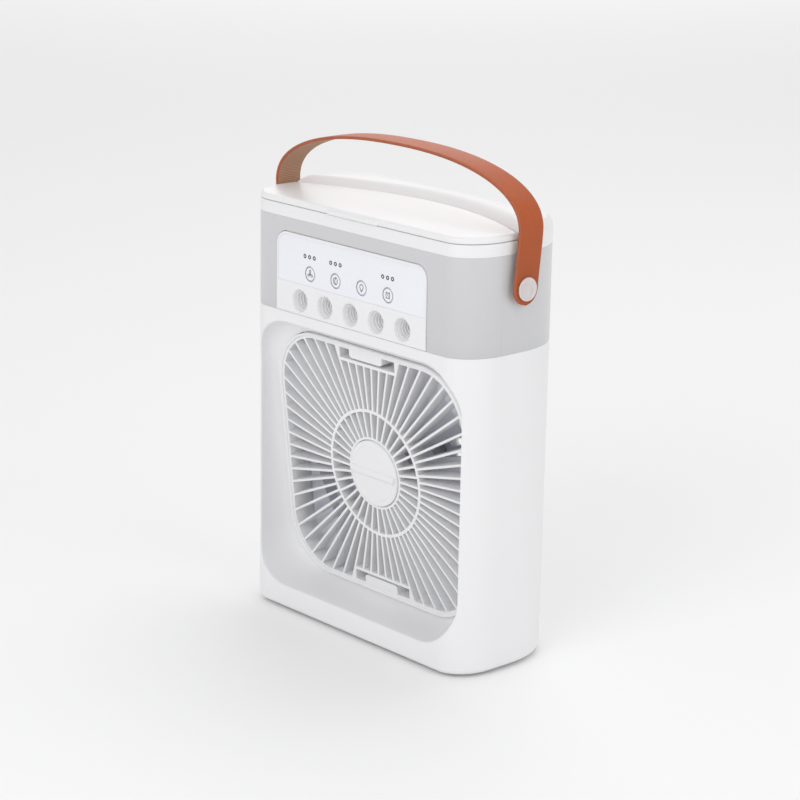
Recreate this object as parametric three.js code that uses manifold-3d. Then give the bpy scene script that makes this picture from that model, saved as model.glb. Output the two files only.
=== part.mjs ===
// Tabletop misting air cooler: a rounded box body with a tilted radial grille in a dished front,
// a translucent water tank with five mist nozzles on top of it, a flip-up filling lid and an
// upright strap handle. Millimetres, +Z up, front towards -Y, standing on its feet at Z = 0.

import * as THREE from 'three';
import { mergeVertices } from 'three/addons/utils/BufferGeometryUtils.js';
import Module from 'manifold-3d';

const wasm = await Module();
wasm.setup();

// Body
const WIDTH = 165;
const DEPTH = 72;
const FRONT = DEPTH / 2;
const FRONT_CORNER = { x: 17, y: 22 };
const REAR_CORNER = { x: 26, y: 36 };
const UNDERSIDE = 1.5;
const SEAM_Z = 160.7;
const TANK_TOP = 208.8;
const RIM_TOP = 215;
const LID_TOP = 218.5;
const RIDGE_TOP = 221.4;
const WALL = 2.4;
const GAP = 0.3;
const PROUD = 1;

// Dished recess in the front and the tilted fan behind it
const RECESS = { halfX: 75, bottom: 14, top: 154.5, corner: 24 };
const TILT = 6.2;
const HUB = new THREE.Vector3(0, -19, 83.8);
const GRILLE = { halfX: 69.5, halfY: 66, corner: 30, deep: 8, band: 2.8 };
const HUB_RADIUS = 19;
const MID_RING = { inner: 32.2, outer: 33.8 };
const INNER_SPOKES = 36;
const OUTER_SPOKES = 62;
const SPOKE = 1.2;
const LATCH_BAR = { halfX: 20.4, thick: 1.6 };
const LATCH_LINE = 57;
const SHROUD_RADIUS = 62;
const SHROUD = { front: -12.4, back: -39.5 };
const BLADES = 7;
const BLADE_TIP = 59;
const BLADE_Z = -19.8;

// Control panel and mist nozzles
const PANEL = { x: -1.25, halfX: 55.4, bottom: 160.85, top: 201.7, corner: 7, deep: 12.6 };
const FILM_BOTTOM = 176.6;
const NOZZLE = { z: 168.2, pitch: 19, count: 5, outer: 6.35, throat: 4.6 };
const WICK = 3.2;
const BUTTON = { z: 183.2, radius: 3.75, columns: [-30.3, -11, 8.3, 27.5] };
const PIP = { z: 191.7, pitch: 3.55, radius: 1, columns: [-30.8, -11.2, 27.1] };

// Rear intake cover, inlet socket, feet and main board
const REAR = { halfX: 54, bottom: 20, top: 148 };
const SLOT = { pitch: 7.6, half: 2.2, taper: 1.8 };
const SCREWS = [[-48, 26], [48, 26], [-48, 142], [48, 142]];
const SOCKET = { x: -24, z: 10.6 };
const FEET = [[-58, -24], [58, -24], [-50, 22], [50, 22]];
const BOARD_Z = 6.9;
const BOARD_POSTS = [[-32, 8], [32, 8], [-32, 27], [32, 27]];

// Lid hinge, shadow-line arc behind the lid, strap handle
const HINGE = { y: 13.2, z: 214.6, radius: 2.1, pin: 1 };
const ARC = { y: 18.3, drop: 22, gap: 0.8 };
const ROLL = 9;
const STRAP = { halfX: 86, bend: 219, rise: 31, power: 2.3, wide: 15.8, thick: 1.8, lean: 2.6 };
const PIVOT = { y: -2.7, z: 192.3 };

const WHITE = { color: 0xeeeef0, roughness: 0.42, metalness: 0 };
const RIM_WHITE = { color: 0xebebee, roughness: 0.38, metalness: 0 };
const TANK_GREY = { color: 0xd0d0d2, roughness: 0.3, metalness: 0 };
const FILM = { color: 0xf0f0f7, roughness: 0.25, metalness: 0 };
const LAVENDER = { color: 0xd6d7e2, roughness: 0.45, metalness: 0 };
const LEATHER = { color: 0xbe4b23, roughness: 0.6, metalness: 0 };
const PEARL = { color: 0xd7c8cd, roughness: 0.25, metalness: 0 };
const STEEL = { color: 0xb4b6ba, roughness: 0.3, metalness: 1 };
const DARK = { color: 0x3a3c40, roughness: 0.55, metalness: 0 };
const RUBBER = { color: 0x8d8f93, roughness: 0.85, metalness: 0 };
const BOARD = { color: 0x2c6e4b, roughness: 0.5, metalness: 0 };
const COTTON = { color: 0xf2efe6, roughness: 0.95, metalness: 0 };
const BRASS = { color: 0xc9a860, roughness: 0.35, metalness: 1 };

const group = new THREE.Group();
group.name = 'misting_air_cooler';

// ---------------------------------------------------------------- building blocks

function solid(geometry) {
  const bare = geometry.clone();
  bare.deleteAttribute('normal');
  bare.deleteAttribute('uv');
  const merged = mergeVertices(bare, 1e-4);
  const mesh = new wasm.Mesh({
    numProp: 3,
    vertProperties: new Float32Array(merged.attributes.position.array),
    triVerts: new Uint32Array(merged.index.array),
  });
  return new wasm.Manifold(mesh);
}

function joined(...geometries) {
  return geometries.map(solid).reduce((sum, next) => sum.add(next));
}

function geometryOf(body) {
  const mesh = body.getMesh();
  const geometry = new THREE.BufferGeometry();
  const positions = new Float32Array(mesh.vertProperties);
  geometry.setAttribute('position', new THREE.BufferAttribute(positions, 3));
  geometry.setIndex(new THREE.BufferAttribute(new Uint32Array(mesh.triVerts), 1));
  return geometry;
}

function place(name, shape, look) {
  const source = shape instanceof THREE.BufferGeometry ? shape : geometryOf(shape);
  const flat = source.index ? source.toNonIndexed() : source;
  flat.computeVertexNormals();
  const mesh = new THREE.Mesh(flat, new THREE.MeshStandardMaterial(look));
  mesh.name = name;
  group.add(mesh);
}

function capTriangles(ring) {
  const normal = new THREE.Vector3();
  ring.forEach((p, i) => {
    const q = ring[(i + 1) % ring.length];
    normal.x += (p.y - q.y) * (p.z + q.z);
    normal.y += (p.z - q.z) * (p.x + q.x);
    normal.z += (p.x - q.x) * (p.y + q.y);
  });
  const turn = new THREE.Quaternion().setFromUnitVectors(
    normal.normalize(),
    new THREE.Vector3(0, 0, 1),
  );
  const flat = ring.map((p) => {
    const q = p.clone().applyQuaternion(turn);
    return new THREE.Vector2(q.x, q.y);
  });
  return THREE.ShapeUtils.triangulateShape(flat, []);
}

function loft(rings, closed = false) {
  const count = rings[0].length;
  const positions = rings.flat().flatMap((p) => [p.x, p.y, p.z]);
  const index = [];
  const spans = closed ? rings.length : rings.length - 1;
  for (let r = 0; r < spans; r += 1) {
    const above = ((r + 1) % rings.length) * count;
    for (let i = 0; i < count; i += 1) {
      const j = (i + 1) % count;
      index.push(r * count + i, r * count + j, above + j);
      index.push(r * count + i, above + j, above + i);
    }
  }
  if (!closed) {
    const last = (rings.length - 1) * count;
    capTriangles(rings[0]).forEach(([a, b, c]) => index.push(a, c, b));
    capTriangles(rings.at(-1)).forEach(([a, b, c]) => index.push(last + a, last + b, last + c));
  }
  const geometry = new THREE.BufferGeometry();
  geometry.setAttribute('position', new THREE.Float32BufferAttribute(positions, 3));
  geometry.setIndex(outward(positions, index));
  return geometry;
}

function outward(positions, index) {
  const corner = (i) => new THREE.Vector3().fromArray(positions, index[i] * 3);
  let volume = 0;
  for (let i = 0; i < index.length; i += 3) {
    volume += corner(i).dot(corner(i + 1).cross(corner(i + 2)));
  }
  return volume > 0 ? index : index.reverse();
}

function circle(radius, segments, z = 0, phase = 0) {
  return Array.from({ length: segments }, (_, i) => {
    const a = phase + (i / segments) * Math.PI * 2;
    return new THREE.Vector3(radius * Math.cos(a), radius * Math.sin(a), z);
  });
}

// A turned piece about its own Z axis from [radius, height] pairs; bored ones close on themselves.
function turned(profile, segments, bored = false) {
  return loft(profile.map(([radius, z]) => circle(radius, segments, z)), bored);
}

function prism(outline, from, to, holes = []) {
  const shape = new THREE.Shape(outline);
  shape.holes = holes.map((hole) => new THREE.Path(hole));
  const geometry = new THREE.ExtrudeGeometry(shape, { depth: to - from, bevelEnabled: false });
  return geometry.translate(0, 0, from);
}

function box(x0, x1, y0, y1, z0, z1) {
  const outline = [[x0, y0], [x1, y0], [x1, y1], [x0, y1]].map((p) => new THREE.Vector2(...p));
  return prism(outline, z0, z1);
}

function roundedRect(x, y, halfX, halfY, radius, steps) {
  const points = [];
  const quarters = [[1, -1, -90], [1, 1, 0], [-1, 1, 90], [-1, -1, 180]];
  for (const [sx, sy, start] of quarters) {
    for (let i = 0; i <= steps; i += 1) {
      const a = THREE.MathUtils.degToRad(start + (90 * i) / steps);
      const px = x + sx * (halfX - radius) + radius * Math.cos(a);
      const py = y + sy * (halfY - radius) + radius * Math.sin(a);
      points.push(new THREE.Vector2(px, py));
    }
  }
  return points;
}

function round2(x, y, radius, segments) {
  return circle(radius, segments, 0, Math.PI / segments).map((p) => {
    return new THREE.Vector2(p.x + x, p.y + y);
  });
}

// Plan view of the body, drawn in by `inset`: tight front corners, long sweeping rear ones.
function plan(inset, steps = 7) {
  const points = [];
  const corners = [
    [1, -1, -90, FRONT_CORNER],
    [1, 1, 0, REAR_CORNER],
    [-1, 1, 90, REAR_CORNER],
    [-1, -1, 180, FRONT_CORNER],
  ];
  for (const [sx, sy, start, corner] of corners) {
    for (let i = 0; i <= steps; i += 1) {
      const a = THREE.MathUtils.degToRad(start + (90 * i) / steps);
      const px = sx * (WIDTH / 2 - corner.x) + (corner.x - inset) * Math.cos(a);
      const py = sy * (FRONT - corner.y) + (corner.y - inset) * Math.sin(a);
      points.push(new THREE.Vector2(px, py));
    }
  }
  return points;
}

function planStack(levels) {
  return loft(levels.map(([z, inset]) => plan(inset).map((p) => new THREE.Vector3(p.x, p.y, z))));
}

// Shapes drawn as seen from the front: local Z is the distance in front of the Y = 0 plane.
const FACING = new THREE.Matrix4().makeBasis(
  new THREE.Vector3(1, 0, 0),
  new THREE.Vector3(0, 0, 1),
  new THREE.Vector3(0, -1, 0),
);

function facing(geometry) {
  return geometry.applyMatrix4(FACING);
}

// The fan's own frame: X right, Y up the grille, Z out of it, tipped forward at the top.
const tilt = THREE.MathUtils.degToRad(TILT);
const FAN_FRAME = new THREE.Matrix4()
  .makeBasis(
    new THREE.Vector3(1, 0, 0),
    new THREE.Vector3(0, -Math.sin(tilt), Math.cos(tilt)),
    new THREE.Vector3(0, -Math.cos(tilt), -Math.sin(tilt)),
  )
  .setPosition(HUB);

function inFan(shape) {
  const geometry = shape instanceof THREE.BufferGeometry ? shape : geometryOf(shape);
  return geometry.applyMatrix4(FAN_FRAME);
}

// ---------------------------------------------------------------- lower housing

function recessRings(grow, extra) {
  const midZ = (RECESS.top + RECESS.bottom) / 2;
  const halfZ = (RECESS.top - RECESS.bottom) / 2;
  const mouth = roundedRect(0, midZ, RECESS.halfX + grow, halfZ + grow, RECESS.corner + grow, 6);
  const seat = roundedRect(0, 0, GRILLE.halfX + 0.4 + grow, GRILLE.halfY + 0.4 + grow,
    GRILLE.corner + grow, 6);
  const rings = [mouth.map((p) => new THREE.Vector3(p.x, -FRONT - 9, p.y))];
  const steps = 4;
  for (let k = 0; k <= steps; k += 1) {
    const turn = ((k / steps) * Math.PI) / 2;
    rings.push(mouth.map((p, i) => {
      const end = new THREE.Vector3(seat[i].x, seat[i].y, extra).applyMatrix4(FAN_FRAME);
      const across = 1 - Math.cos(turn);
      return new THREE.Vector3(
        THREE.MathUtils.lerp(p.x, end.x, across),
        THREE.MathUtils.lerp(-FRONT, end.y, Math.sin(turn)),
        THREE.MathUtils.lerp(p.y, end.z, across),
      );
    }));
  }
  return rings;
}

function fanPrism(grow, from, to) {
  const outline = roundedRect(0, 0, GRILLE.halfX + grow, GRILLE.halfY + grow,
    GRILLE.corner + grow, 6);
  return inFan(prism(outline, from, to));
}

function lowerHousing() {
  const outer = solid(planStack([
    [UNDERSIDE, 3],
    [UNDERSIDE + 0.9, 1],
    [UNDERSIDE + 3, 0],
    [SEAM_Z - GAP / 2, 0],
  ]));
  const inner = solid(planStack([[UNDERSIDE + 2.6, WALL + 1], [UNDERSIDE + 5, WALL],
    [SEAM_Z + 5, WALL]]));
  const dish = joined(loft(recessRings(2, -1)), fanPrism(2.4, -GRILLE.deep - 2.6, -0.5));
  const cut = joined(loft(recessRings(0, -1)), fanPrism(0.4, -GRILLE.deep - 0.4, -0.4))
    .add(solid(fanPrism(-2.2, -GRILLE.deep - 8, -1)));
  let housing = outer.subtract(inner).add(dish.intersect(outer)).subtract(cut);
  const midZ = (REAR.bottom + REAR.top) / 2;
  const halfZ = (REAR.top - REAR.bottom) / 2;
  const back = roundedRect(0, midZ, REAR.halfX, halfZ, 10, 3);
  housing = housing.subtract(solid(facing(prism(back, -FRONT - 4, -FRONT + WALL + 2))));
  const socket = roundedRect(SOCKET.x, SOCKET.z, 5.2, 2.4, 1.4, 2);
  housing = housing.subtract(solid(facing(prism(socket, -FRONT - 4, -FRONT + 6))));
  for (const [x, y] of FEET) {
    const pocket = turned([[6.4, 0], [6.4, UNDERSIDE + 0.9]], 12).translate(x, y, 0);
    housing = housing.subtract(solid(pocket));
  }
  for (const [x, y] of BOARD_POSTS) {
    const post = turned([[2.2, UNDERSIDE + 1.5], [2.2, BOARD_Z - GAP]], 8).translate(x, y, 0);
    housing = housing.add(solid(post));
  }
  place('lower_housing', housing, WHITE);
}

function feet() {
  FEET.forEach(([x, y], i) => {
    const pad = turned([[5.4, 0], [6, 0.6], [6, UNDERSIDE + 0.6]], 12).translate(x, y, 0);
    place(`foot_${i + 1}`, pad, RUBBER);
  });
}

// Rear intake panel: rows of slots filling a circle behind the fan, split by a centre rib.
function rearCover() {
  const midZ = (REAR.bottom + REAR.top) / 2;
  const halfZ = (REAR.top - REAR.bottom) / 2;
  const holes = [];
  for (let row = -6; row <= 6; row += 1) {
    const y = midZ + row * SLOT.pitch;
    const reach = Math.sqrt(49 ** 2 - (row * SLOT.pitch) ** 2);
    for (const side of [-1, 1]) {
      const middle = (side * (reach + 2.5)) / 2;
      const half = (reach - 2.5) / 2;
      holes.push([
        new THREE.Vector2(middle - half, y),
        new THREE.Vector2(middle - half + SLOT.taper, y - SLOT.half),
        new THREE.Vector2(middle + half - SLOT.taper, y - SLOT.half),
        new THREE.Vector2(middle + half, y),
        new THREE.Vector2(middle + half - SLOT.taper, y + SLOT.half),
        new THREE.Vector2(middle - half + SLOT.taper, y + SLOT.half),
      ]);
    }
  }
  for (const [x, z] of SCREWS) {
    holes.push(round2(x, z, 1.6, 8));
  }
  const outline = roundedRect(0, midZ, REAR.halfX - GAP, halfZ - GAP, 9.7, 3);
  const plate = facing(prism(outline, -FRONT, -FRONT + WALL - 0.4, holes));
  place('rear_cover', plate, WHITE);
}

function coverScrews() {
  SCREWS.forEach(([x, z], i) => {
    const screw = facing(turned([
      [1.2, -FRONT + 6], [1.2, -FRONT - GAP], [2.9, -FRONT - GAP], [2.5, -FRONT - PROUD],
    ], 10));
    place(`cover_screw_${i + 1}`, screw.translate(x, 0, z), STEEL);
  });
}

// ---------------------------------------------------------------- front grille

// How far from the hub the clear opening reaches at this angle, inside the frame band.
function reachAt(angle) {
  const inner = roundedRect(0, 0, GRILLE.halfX - GRILLE.band, GRILLE.halfY - GRILLE.band,
    GRILLE.corner - GRILLE.band, 12);
  const way = new THREE.Vector2(Math.cos(angle), Math.sin(angle));
  let reach = 0;
  inner.forEach((p, i) => {
    const edge = inner[(i + 1) % inner.length].clone().sub(p);
    const cross = way.cross(edge);
    const along = p.cross(edge) / cross;
    const part = p.cross(way) / cross;
    if (along > 0 && part >= -1e-6 && part <= 1 + 1e-6) {
      reach = Math.max(reach, along);
    }
  });
  return reach;
}

function polar(radius, angle) {
  return new THREE.Vector2(radius * Math.cos(angle), radius * Math.sin(angle));
}

function spokeWindow(low, high, near, far) {
  const edge = (radius) => Math.asin(SPOKE / 2 / radius);
  const points = [polar(near, low + edge(near)), polar(near, high - edge(near))];
  const outer = [high - edge(far(high)), (low + high) / 2, low + edge(far(low))];
  return unkinked(points.concat(outer.map((a) => polar(far(a), a))).reverse());
}

// Drops the points that lie on the straight line between their neighbours.
function unkinked(points) {
  return points.filter((p, i) => {
    const before = points.at(i - 1).clone().sub(p);
    const after = points[(i + 1) % points.length].clone().sub(p);
    return Math.abs(before.cross(after)) > 1e-3 * before.length() * after.length();
  });
}

function grilleWindows() {
  const windows = [];
  const inner = (Math.PI * 2) / INNER_SPOKES;
  for (let k = 0; k < INNER_SPOKES; k += 1) {
    windows.push(spokeWindow(k * inner, (k + 1) * inner, HUB_RADIUS, () => MID_RING.inner));
  }
  const outer = (Math.PI * 2) / OUTER_SPOKES;
  for (let k = 0; k < OUTER_SPOKES; k += 1) {
    const middle = (k + 0.5) * outer;
    const barred = Math.abs(Math.cos(middle)) < Math.sin(3.5 * outer);
    const bar = LATCH_LINE - LATCH_BAR.thick / 2;
    const far = barred ? (a) => bar / Math.abs(Math.sin(a)) : reachAt;
    windows.push(spokeWindow(k * outer, (k + 1) * outer, MID_RING.outer, far));
  }
  return windows;
}


// Slot beyond each latch bar, with a springy tab left standing from the frame side.
function latchSlot(side) {
  const low = LATCH_LINE + LATCH_BAR.thick / 2;
  const high = GRILLE.halfY - GRILLE.band;
  const points = [
    [-LATCH_BAR.halfX, low], [LATCH_BAR.halfX, low], [LATCH_BAR.halfX, high], [11.2, high],
    [11.2, low + 2.4], [9.4, low + 1.1], [-11.4, low + 1.1], [-13.2, low + 2.4],
    [-13.2, high], [-LATCH_BAR.halfX, high],
  ];
  return points.map(([x, y]) => new THREE.Vector2(x, y * side));
}

function frontGrille() {
  const outline = roundedRect(0, 0, GRILLE.halfX, GRILLE.halfY, GRILLE.corner, 6);
  const windows = grilleWindows().concat([latchSlot(1), latchSlot(-1)]);
  const openings = joined(...windows.map((w) => prism(w, -GRILLE.deep - 1, 5)));
  const web = solid(prism(outline, -GRILLE.deep, 0)).subtract(openings);
  const bead = prism(outline, -1, 1, [
    roundedRect(0, 0, GRILLE.halfX - 1.4, GRILLE.halfY - 1.4, GRILLE.corner - 1.4, 6),
  ]);
  const seat = turned([[HUB_RADIUS - 1.2, -1.6], [HUB_RADIUS - 1.2, 2]], 36);
  const grille = web.add(solid(bead)).subtract(solid(seat));
  place('front_grille', inFan(grille), WHITE);
}

function hubCap() {
  const disc = turned([[17.4, -1.3], [17.4, 0.7], [16.8, 1.1]], 36);
  const ridge = loft([
    roundedRect(0, 0, 16.4, 2.3, 1.2, 2).map((p) => new THREE.Vector3(p.x, p.y, 0.5)),
    roundedRect(0, 0, 16, 1.5, 1, 2).map((p) => new THREE.Vector3(p.x, p.y, 2.4)),
  ]);
  place('grille_hub_cap', inFan(joined(disc, ridge)), WHITE);
}

// ---------------------------------------------------------------- fan unit


function fanShroud() {
  const flange = prism(roundedRect(0, 0, 66.5, 64.6, 20, 3), SHROUD.front - 2, SHROUD.front, [
    circle(SHROUD_RADIUS, 40).map((p) => new THREE.Vector2(p.x, p.y)),
  ]);
  const duct = turned([
    [SHROUD_RADIUS, SHROUD.front], [SHROUD_RADIUS + 1.8, SHROUD.front],
    [SHROUD_RADIUS + 1.8, SHROUD.back], [SHROUD_RADIUS, SHROUD.back],
  ], 40, true);
  place('fan_shroud', inFan(joined(flange, duct)), WHITE);
}

function blade(turnBy) {
  const stations = [[16, 17, 38], [27, 24, 31], [38, 31, 25], [49, 36, 20], [BLADE_TIP, 38, 17]];
  const rings = stations.map(([radius, chord, pitch]) => {
    const a = THREE.MathUtils.degToRad(pitch);
    const half = chord / 2;
    const line = [
      [-half, -0.3, -0.3], [0, 1.4, -0.7], [half, -0.3, -0.3],
      [half, -0.3, 0.3], [0, 1.4, 0.7], [-half, -0.3, 0.3],
    ];
    return line.map(([along, camber, side]) => {
      const rise = camber + side;
      const across = along * Math.cos(a) - rise * Math.sin(a);
      const up = along * Math.sin(a) + rise * Math.cos(a);
      return new THREE.Vector3(radius, across, BLADE_Z + up);
    });
  });
  return loft(rings).rotateZ(turnBy);
}


function impeller() {
  const hub = turned([
    [1.8, -13.2], [12.5, -13.2], [17.2, -15.6], [17.2, -26], [15, -26],
    [15, -17.4], [4.6, -17.4], [4.6, -25], [1.8, -25],
  ], 21, true);
  const blades = Array.from({ length: BLADES }, (_, i) => blade((i / BLADES) * Math.PI * 2));
  const whole = joined(hub, ...blades);
  place('impeller', inFan(whole), LAVENDER);
}

function fanDrive() {
  const nut = turned([[1.8, -11], [3, -11], [3.4, -12.9], [1.8, -12.9]], 12, true);
  place('impeller_nut', inFan(nut), STEEL);
  const shaft = turned([[1.1, -10.2], [1.5, -10.7], [1.5, -38.4]], 12);
  place('motor_shaft', inFan(shaft), STEEL);
  const can = turned([
    [1.8, -26.6], [4, -26.6], [4, -27.6], [13.5, -27.6], [14.5, -28.6],
    [14.5, -36.8], [1.8, -36.8],
  ], 18, true);
  place('motor', inFan(can), STEEL);
}

// Spoked guard behind the impeller; its middle plate carries the motor.
function rearGuard() {
  const windows = [];
  const count = 18;
  const pitch = (Math.PI * 2) / count;
  for (let k = 0; k < count; k += 1) {
    for (const [near, far] of [[19, 38], [40, 58.6]]) {
      const angles = [k * pitch + 0.9 / near, (k + 1) * pitch - 0.9 / near];
      const outer = [(k + 1) * pitch - 0.9 / far, k * pitch + 0.9 / far];
      windows.push([...angles.map((a) => polar(near, a)), ...outer.map((a) => polar(far, a))]);
    }
  }
  const outline = circle(SHROUD_RADIUS - GAP - 0.3, 40).map((p) => new THREE.Vector2(p.x, p.y));
  const guard = solid(prism(outline, -39.3, -37.2, windows));
  const bore = turned([[1.9, -45], [1.9, -30]], 12);
  place('rear_guard', inFan(guard.subtract(solid(bore))), WHITE);
}

// ---------------------------------------------------------------- boards and socket

function boards() {
  place('main_board', box(-36, 36, 5, 30.5, BOARD_Z, BOARD_Z + 1.6), BOARD);
  const shell = joined(
    facing(prism(roundedRect(SOCKET.x, SOCKET.z, 4.6, 1.7, 1.1, 2), -FRONT + 0.6, -25)),
  ).subtract(solid(facing(prism(roundedRect(SOCKET.x, SOCKET.z, 3.9, 1.1, 0.8, 2),
    -FRONT - 2, -29))));
  place('power_socket', shell, STEEL);
  const panelBoard = facing(prism(
    roundedRect(PANEL.x, 188.4, 48, 9.6, 1.5, 2), FRONT - 6.4, FRONT - 4.9,
  ));
  place('control_board', panelBoard, BOARD);
  place('light_strip', box(-48, 48, 14, 20, SEAM_Z - 2.6, SEAM_Z - 0.5), FILM);
}

// ---------------------------------------------------------------- tank

function nozzleX(i) {
  return (i - (NOZZLE.count - 1) / 2) * NOZZLE.pitch;
}

function panelOutline(grow) {
  const points = roundedRect(PANEL.x, (PANEL.bottom + PANEL.top) / 2, PANEL.halfX + grow,
    (PANEL.top - PANEL.bottom) / 2 + grow, PANEL.corner + grow, 4);
  const low = PANEL.bottom - grow;
  return points.map((p) => {
    const square = p.y < low + PANEL.corner + grow;
    const side = Math.sign(p.x - PANEL.x);
    return square ? new THREE.Vector2(PANEL.x + side * (PANEL.halfX + grow), low) : p;
  }).filter((p, i, all) => p.distanceTo(all[(i + 1) % all.length]) > 1e-6);
}

function tank() {
  const outer = solid(planStack([[SEAM_Z + GAP / 2, 0], [TANK_TOP - GAP / 2, 0]]));
  const bay = FRONT - PANEL.deep - 1.2;
  const notch = solid(facing(prism(panelOutline(GAP), bay, FRONT + 5)));
  const walls = solid(facing(prism(panelOutline(GAP + 2), bay - 2, FRONT + 5)));
  const inside = solid(planStack([[SEAM_Z + 2.4, 2.2], [TANK_TOP + 5, 2.2]])).subtract(walls);
  let shell = outer.subtract(notch).subtract(inside);
  for (let i = 0; i < NOZZLE.count; i += 1) {
    const bore = facing(turned([[WICK + 0.3, bay - 6], [WICK + 0.3, bay + 3]], 12));
    shell = shell.subtract(solid(bore).translate([nozzleX(i), 0, NOZZLE.z]));
  }
  for (const side of [-1, 1]) {
    const bore = turned([[2.5, 76], [2.5, 90]], 12).rotateY((side * Math.PI) / 2);
    shell = shell.subtract(solid(bore).translate([0, PIVOT.y, PIVOT.z]));
  }
  place('water_tank', shell, TANK_GREY);
}


// Everything in front of the shadow-line arc (or behind it), shifted back by `shift`.
function beyondArc(shift, behind, z0, z1) {
  const points = [];
  for (let i = 0; i <= 18; i += 1) {
    const x = -90 + 10 * i;
    const reach = Math.min(Math.abs(x), 84) / (WIDTH / 2);
    points.push(new THREE.Vector2(x, ARC.y - ARC.drop * reach ** 2 + shift));
  }
  const edge = behind ? 60 : -60;
  points.push(new THREE.Vector2(90, edge), new THREE.Vector2(-90, edge));
  return solid(prism(points, z0, z1));
}

function tankRim() {
  const band = solid(planStack([[TANK_TOP + GAP / 2, 0.5], [RIM_TOP, 0.5]]));
  const mouth = solid(planStack([[TANK_TOP - 5, 5.5], [RIM_TOP + 5, 5.5]]))
    .intersect(beyondArc(-9, false, 0, 300));
  const bay = solid(box(-36, 36, HINGE.y - 3, HINGE.y + 9, HINGE.z - 2.7, RIM_TOP + 5));
  const rim = band.subtract(mouth).intersect(beyondArc(-ARC.gap, false, 0, 300)).subtract(bay);
  place('tank_rim', rim, RIM_WHITE);
}

// Raised rear cap: it rolls up from the arc to a flat top, then rounds over at the outside.
function rearCap() {
  const stations = [];
  for (let i = 0; i <= 10; i += 1) {
    const x = -90 + 18 * i;
    const reach = Math.min(Math.abs(x), 84) / (WIDTH / 2);
    const foot = ARC.y - ARC.drop * reach ** 2 + ARC.gap;
    const ring = [new THREE.Vector3(x, foot, TANK_TOP + GAP / 2)];
    for (let k = 0; k <= 5; k += 1) {
      const t = k / 5;
      const ease = Math.sin((t * Math.PI) / 2) ** 0.85;
      const z = THREE.MathUtils.lerp(LID_TOP - 1.2, RIDGE_TOP, ease);
      ring.push(new THREE.Vector3(x, foot + ROLL * t, z));
    }
    ring.push(new THREE.Vector3(x, 60, RIDGE_TOP - 1), new THREE.Vector3(x, 60, TANK_TOP + GAP / 2));
    stations.push(ring);
  }
  const rounded = solid(planStack([
    [TANK_TOP, 0], [RIDGE_TOP - 5, 0], [RIDGE_TOP - 2.4, 0.5], [RIDGE_TOP - 0.8, 2],
    [RIDGE_TOP + 1, 6],
  ]));
  let cap = solid(loft(stations)).intersect(rounded);
  const hollow = solid(planStack([[TANK_TOP - 5, 3], [RIM_TOP, 3]]))
    .intersect(beyondArc(3, true, 0, 300));
  cap = cap.subtract(hollow);
  for (const x of [-31, -17, 17, 31]) {
    cap = cap.add(solid(hingeEar(x)));
  }
  for (const x of [-24, 24]) {
    cap = cap.subtract(solid(hingeBore(x, HINGE.pin + 0.3)));
  }
  place('rear_cap', cap, WHITE);
}

// One ear of the lid hinge: a rounded lug reaching forward from the cap around the pin.
function hingeEar(x) {
  const points = [];
  for (let i = 0; i <= 6; i += 1) {
    const a = THREE.MathUtils.degToRad(90 + 30 * i);
    points.push(new THREE.Vector2(
      HINGE.y + HINGE.radius * Math.cos(a),
      HINGE.z + HINGE.radius * Math.sin(a),
    ));
  }
  const back = ARC.y - ARC.drop * (x / (WIDTH / 2)) ** 2 + ARC.gap + 2;
  points.push(new THREE.Vector2(back, HINGE.z - HINGE.radius));
  points.push(new THREE.Vector2(back, HINGE.z - 0.5));
  return alongX(prism(points, x - 1.6, x + 1.6));
}

function hingeBore(x, radius, half = 9) {
  const rod = turned([[radius, x - half], [radius, x + half]], 12);
  return alongX(rod.translate(HINGE.y, HINGE.z, 0));
}

// Turns a shape drawn in (Y, Z) and extruded along X into place.
function alongX(geometry) {
  return geometry.applyMatrix4(new THREE.Matrix4().makeBasis(
    new THREE.Vector3(0, 1, 0),
    new THREE.Vector3(0, 0, 1),
    new THREE.Vector3(1, 0, 0),
  ));
}

// ---------------------------------------------------------------- lid

function lid() {
  const under = RIM_TOP + GAP;
  const body = solid(planStack([
    [under, 0.6], [under + 0.6, 0.3], [LID_TOP - 1.6, 0.3], [LID_TOP - 0.5, 1.1], [LID_TOP, 2.9],
  ])).intersect(beyondArc(-ARC.gap, false, 0, 300));
  const lead = solid(planStack([[LID_TOP - 1.5, 0], [LID_TOP + 3, 0]]))
    .intersect(beyondArc(-ARC.gap - 1, false, 0, 300));
  const low = solid(box(-95, 95, -60, 60, 0, LID_TOP - 1));
  const eased = body.intersect(lead.add(low));
  const hollow = solid(planStack([[under - 3, 3.2], [LID_TOP - 1.6, 3.2]]))
    .intersect(beyondArc(-3.4, false, 0, 300));
  const bay = solid(box(-35, 35, HINGE.y - 4, HINGE.y + 8, 200, LID_TOP - 1.6));
  const tab = solid(prism(roundedRect(0, -FRONT + 1.4, 18.5, 2.4, 1.2, 3), under + 0.2, under + 2.2));
  let whole = eased.subtract(hollow).subtract(bay).add(tab);
  for (const x of [-24, 24]) {
    const barrel = hingeBore(x, HINGE.radius, 5);
    const arm = box(x - 5, x + 5, HINGE.y - HINGE.radius, HINGE.y + 1.6, HINGE.z, LID_TOP - 1.2);
    whole = whole.add(joined(barrel, arm)).subtract(solid(hingeBore(x, HINGE.pin + 0.3, 12)));
  }
  place('lid', whole, WHITE);
  [-24, 24].forEach((x, i) => {
    place(`hinge_pin_${i + 1}`, hingeBore(x, HINGE.pin, 8.4), STEEL);
  });
}

// ---------------------------------------------------------------- control panel

function pipCentres() {
  return PIP.columns.map((x) => [-1, 0, 1].map((k) => [x + k * PIP.pitch, PIP.z]));
}

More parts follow.
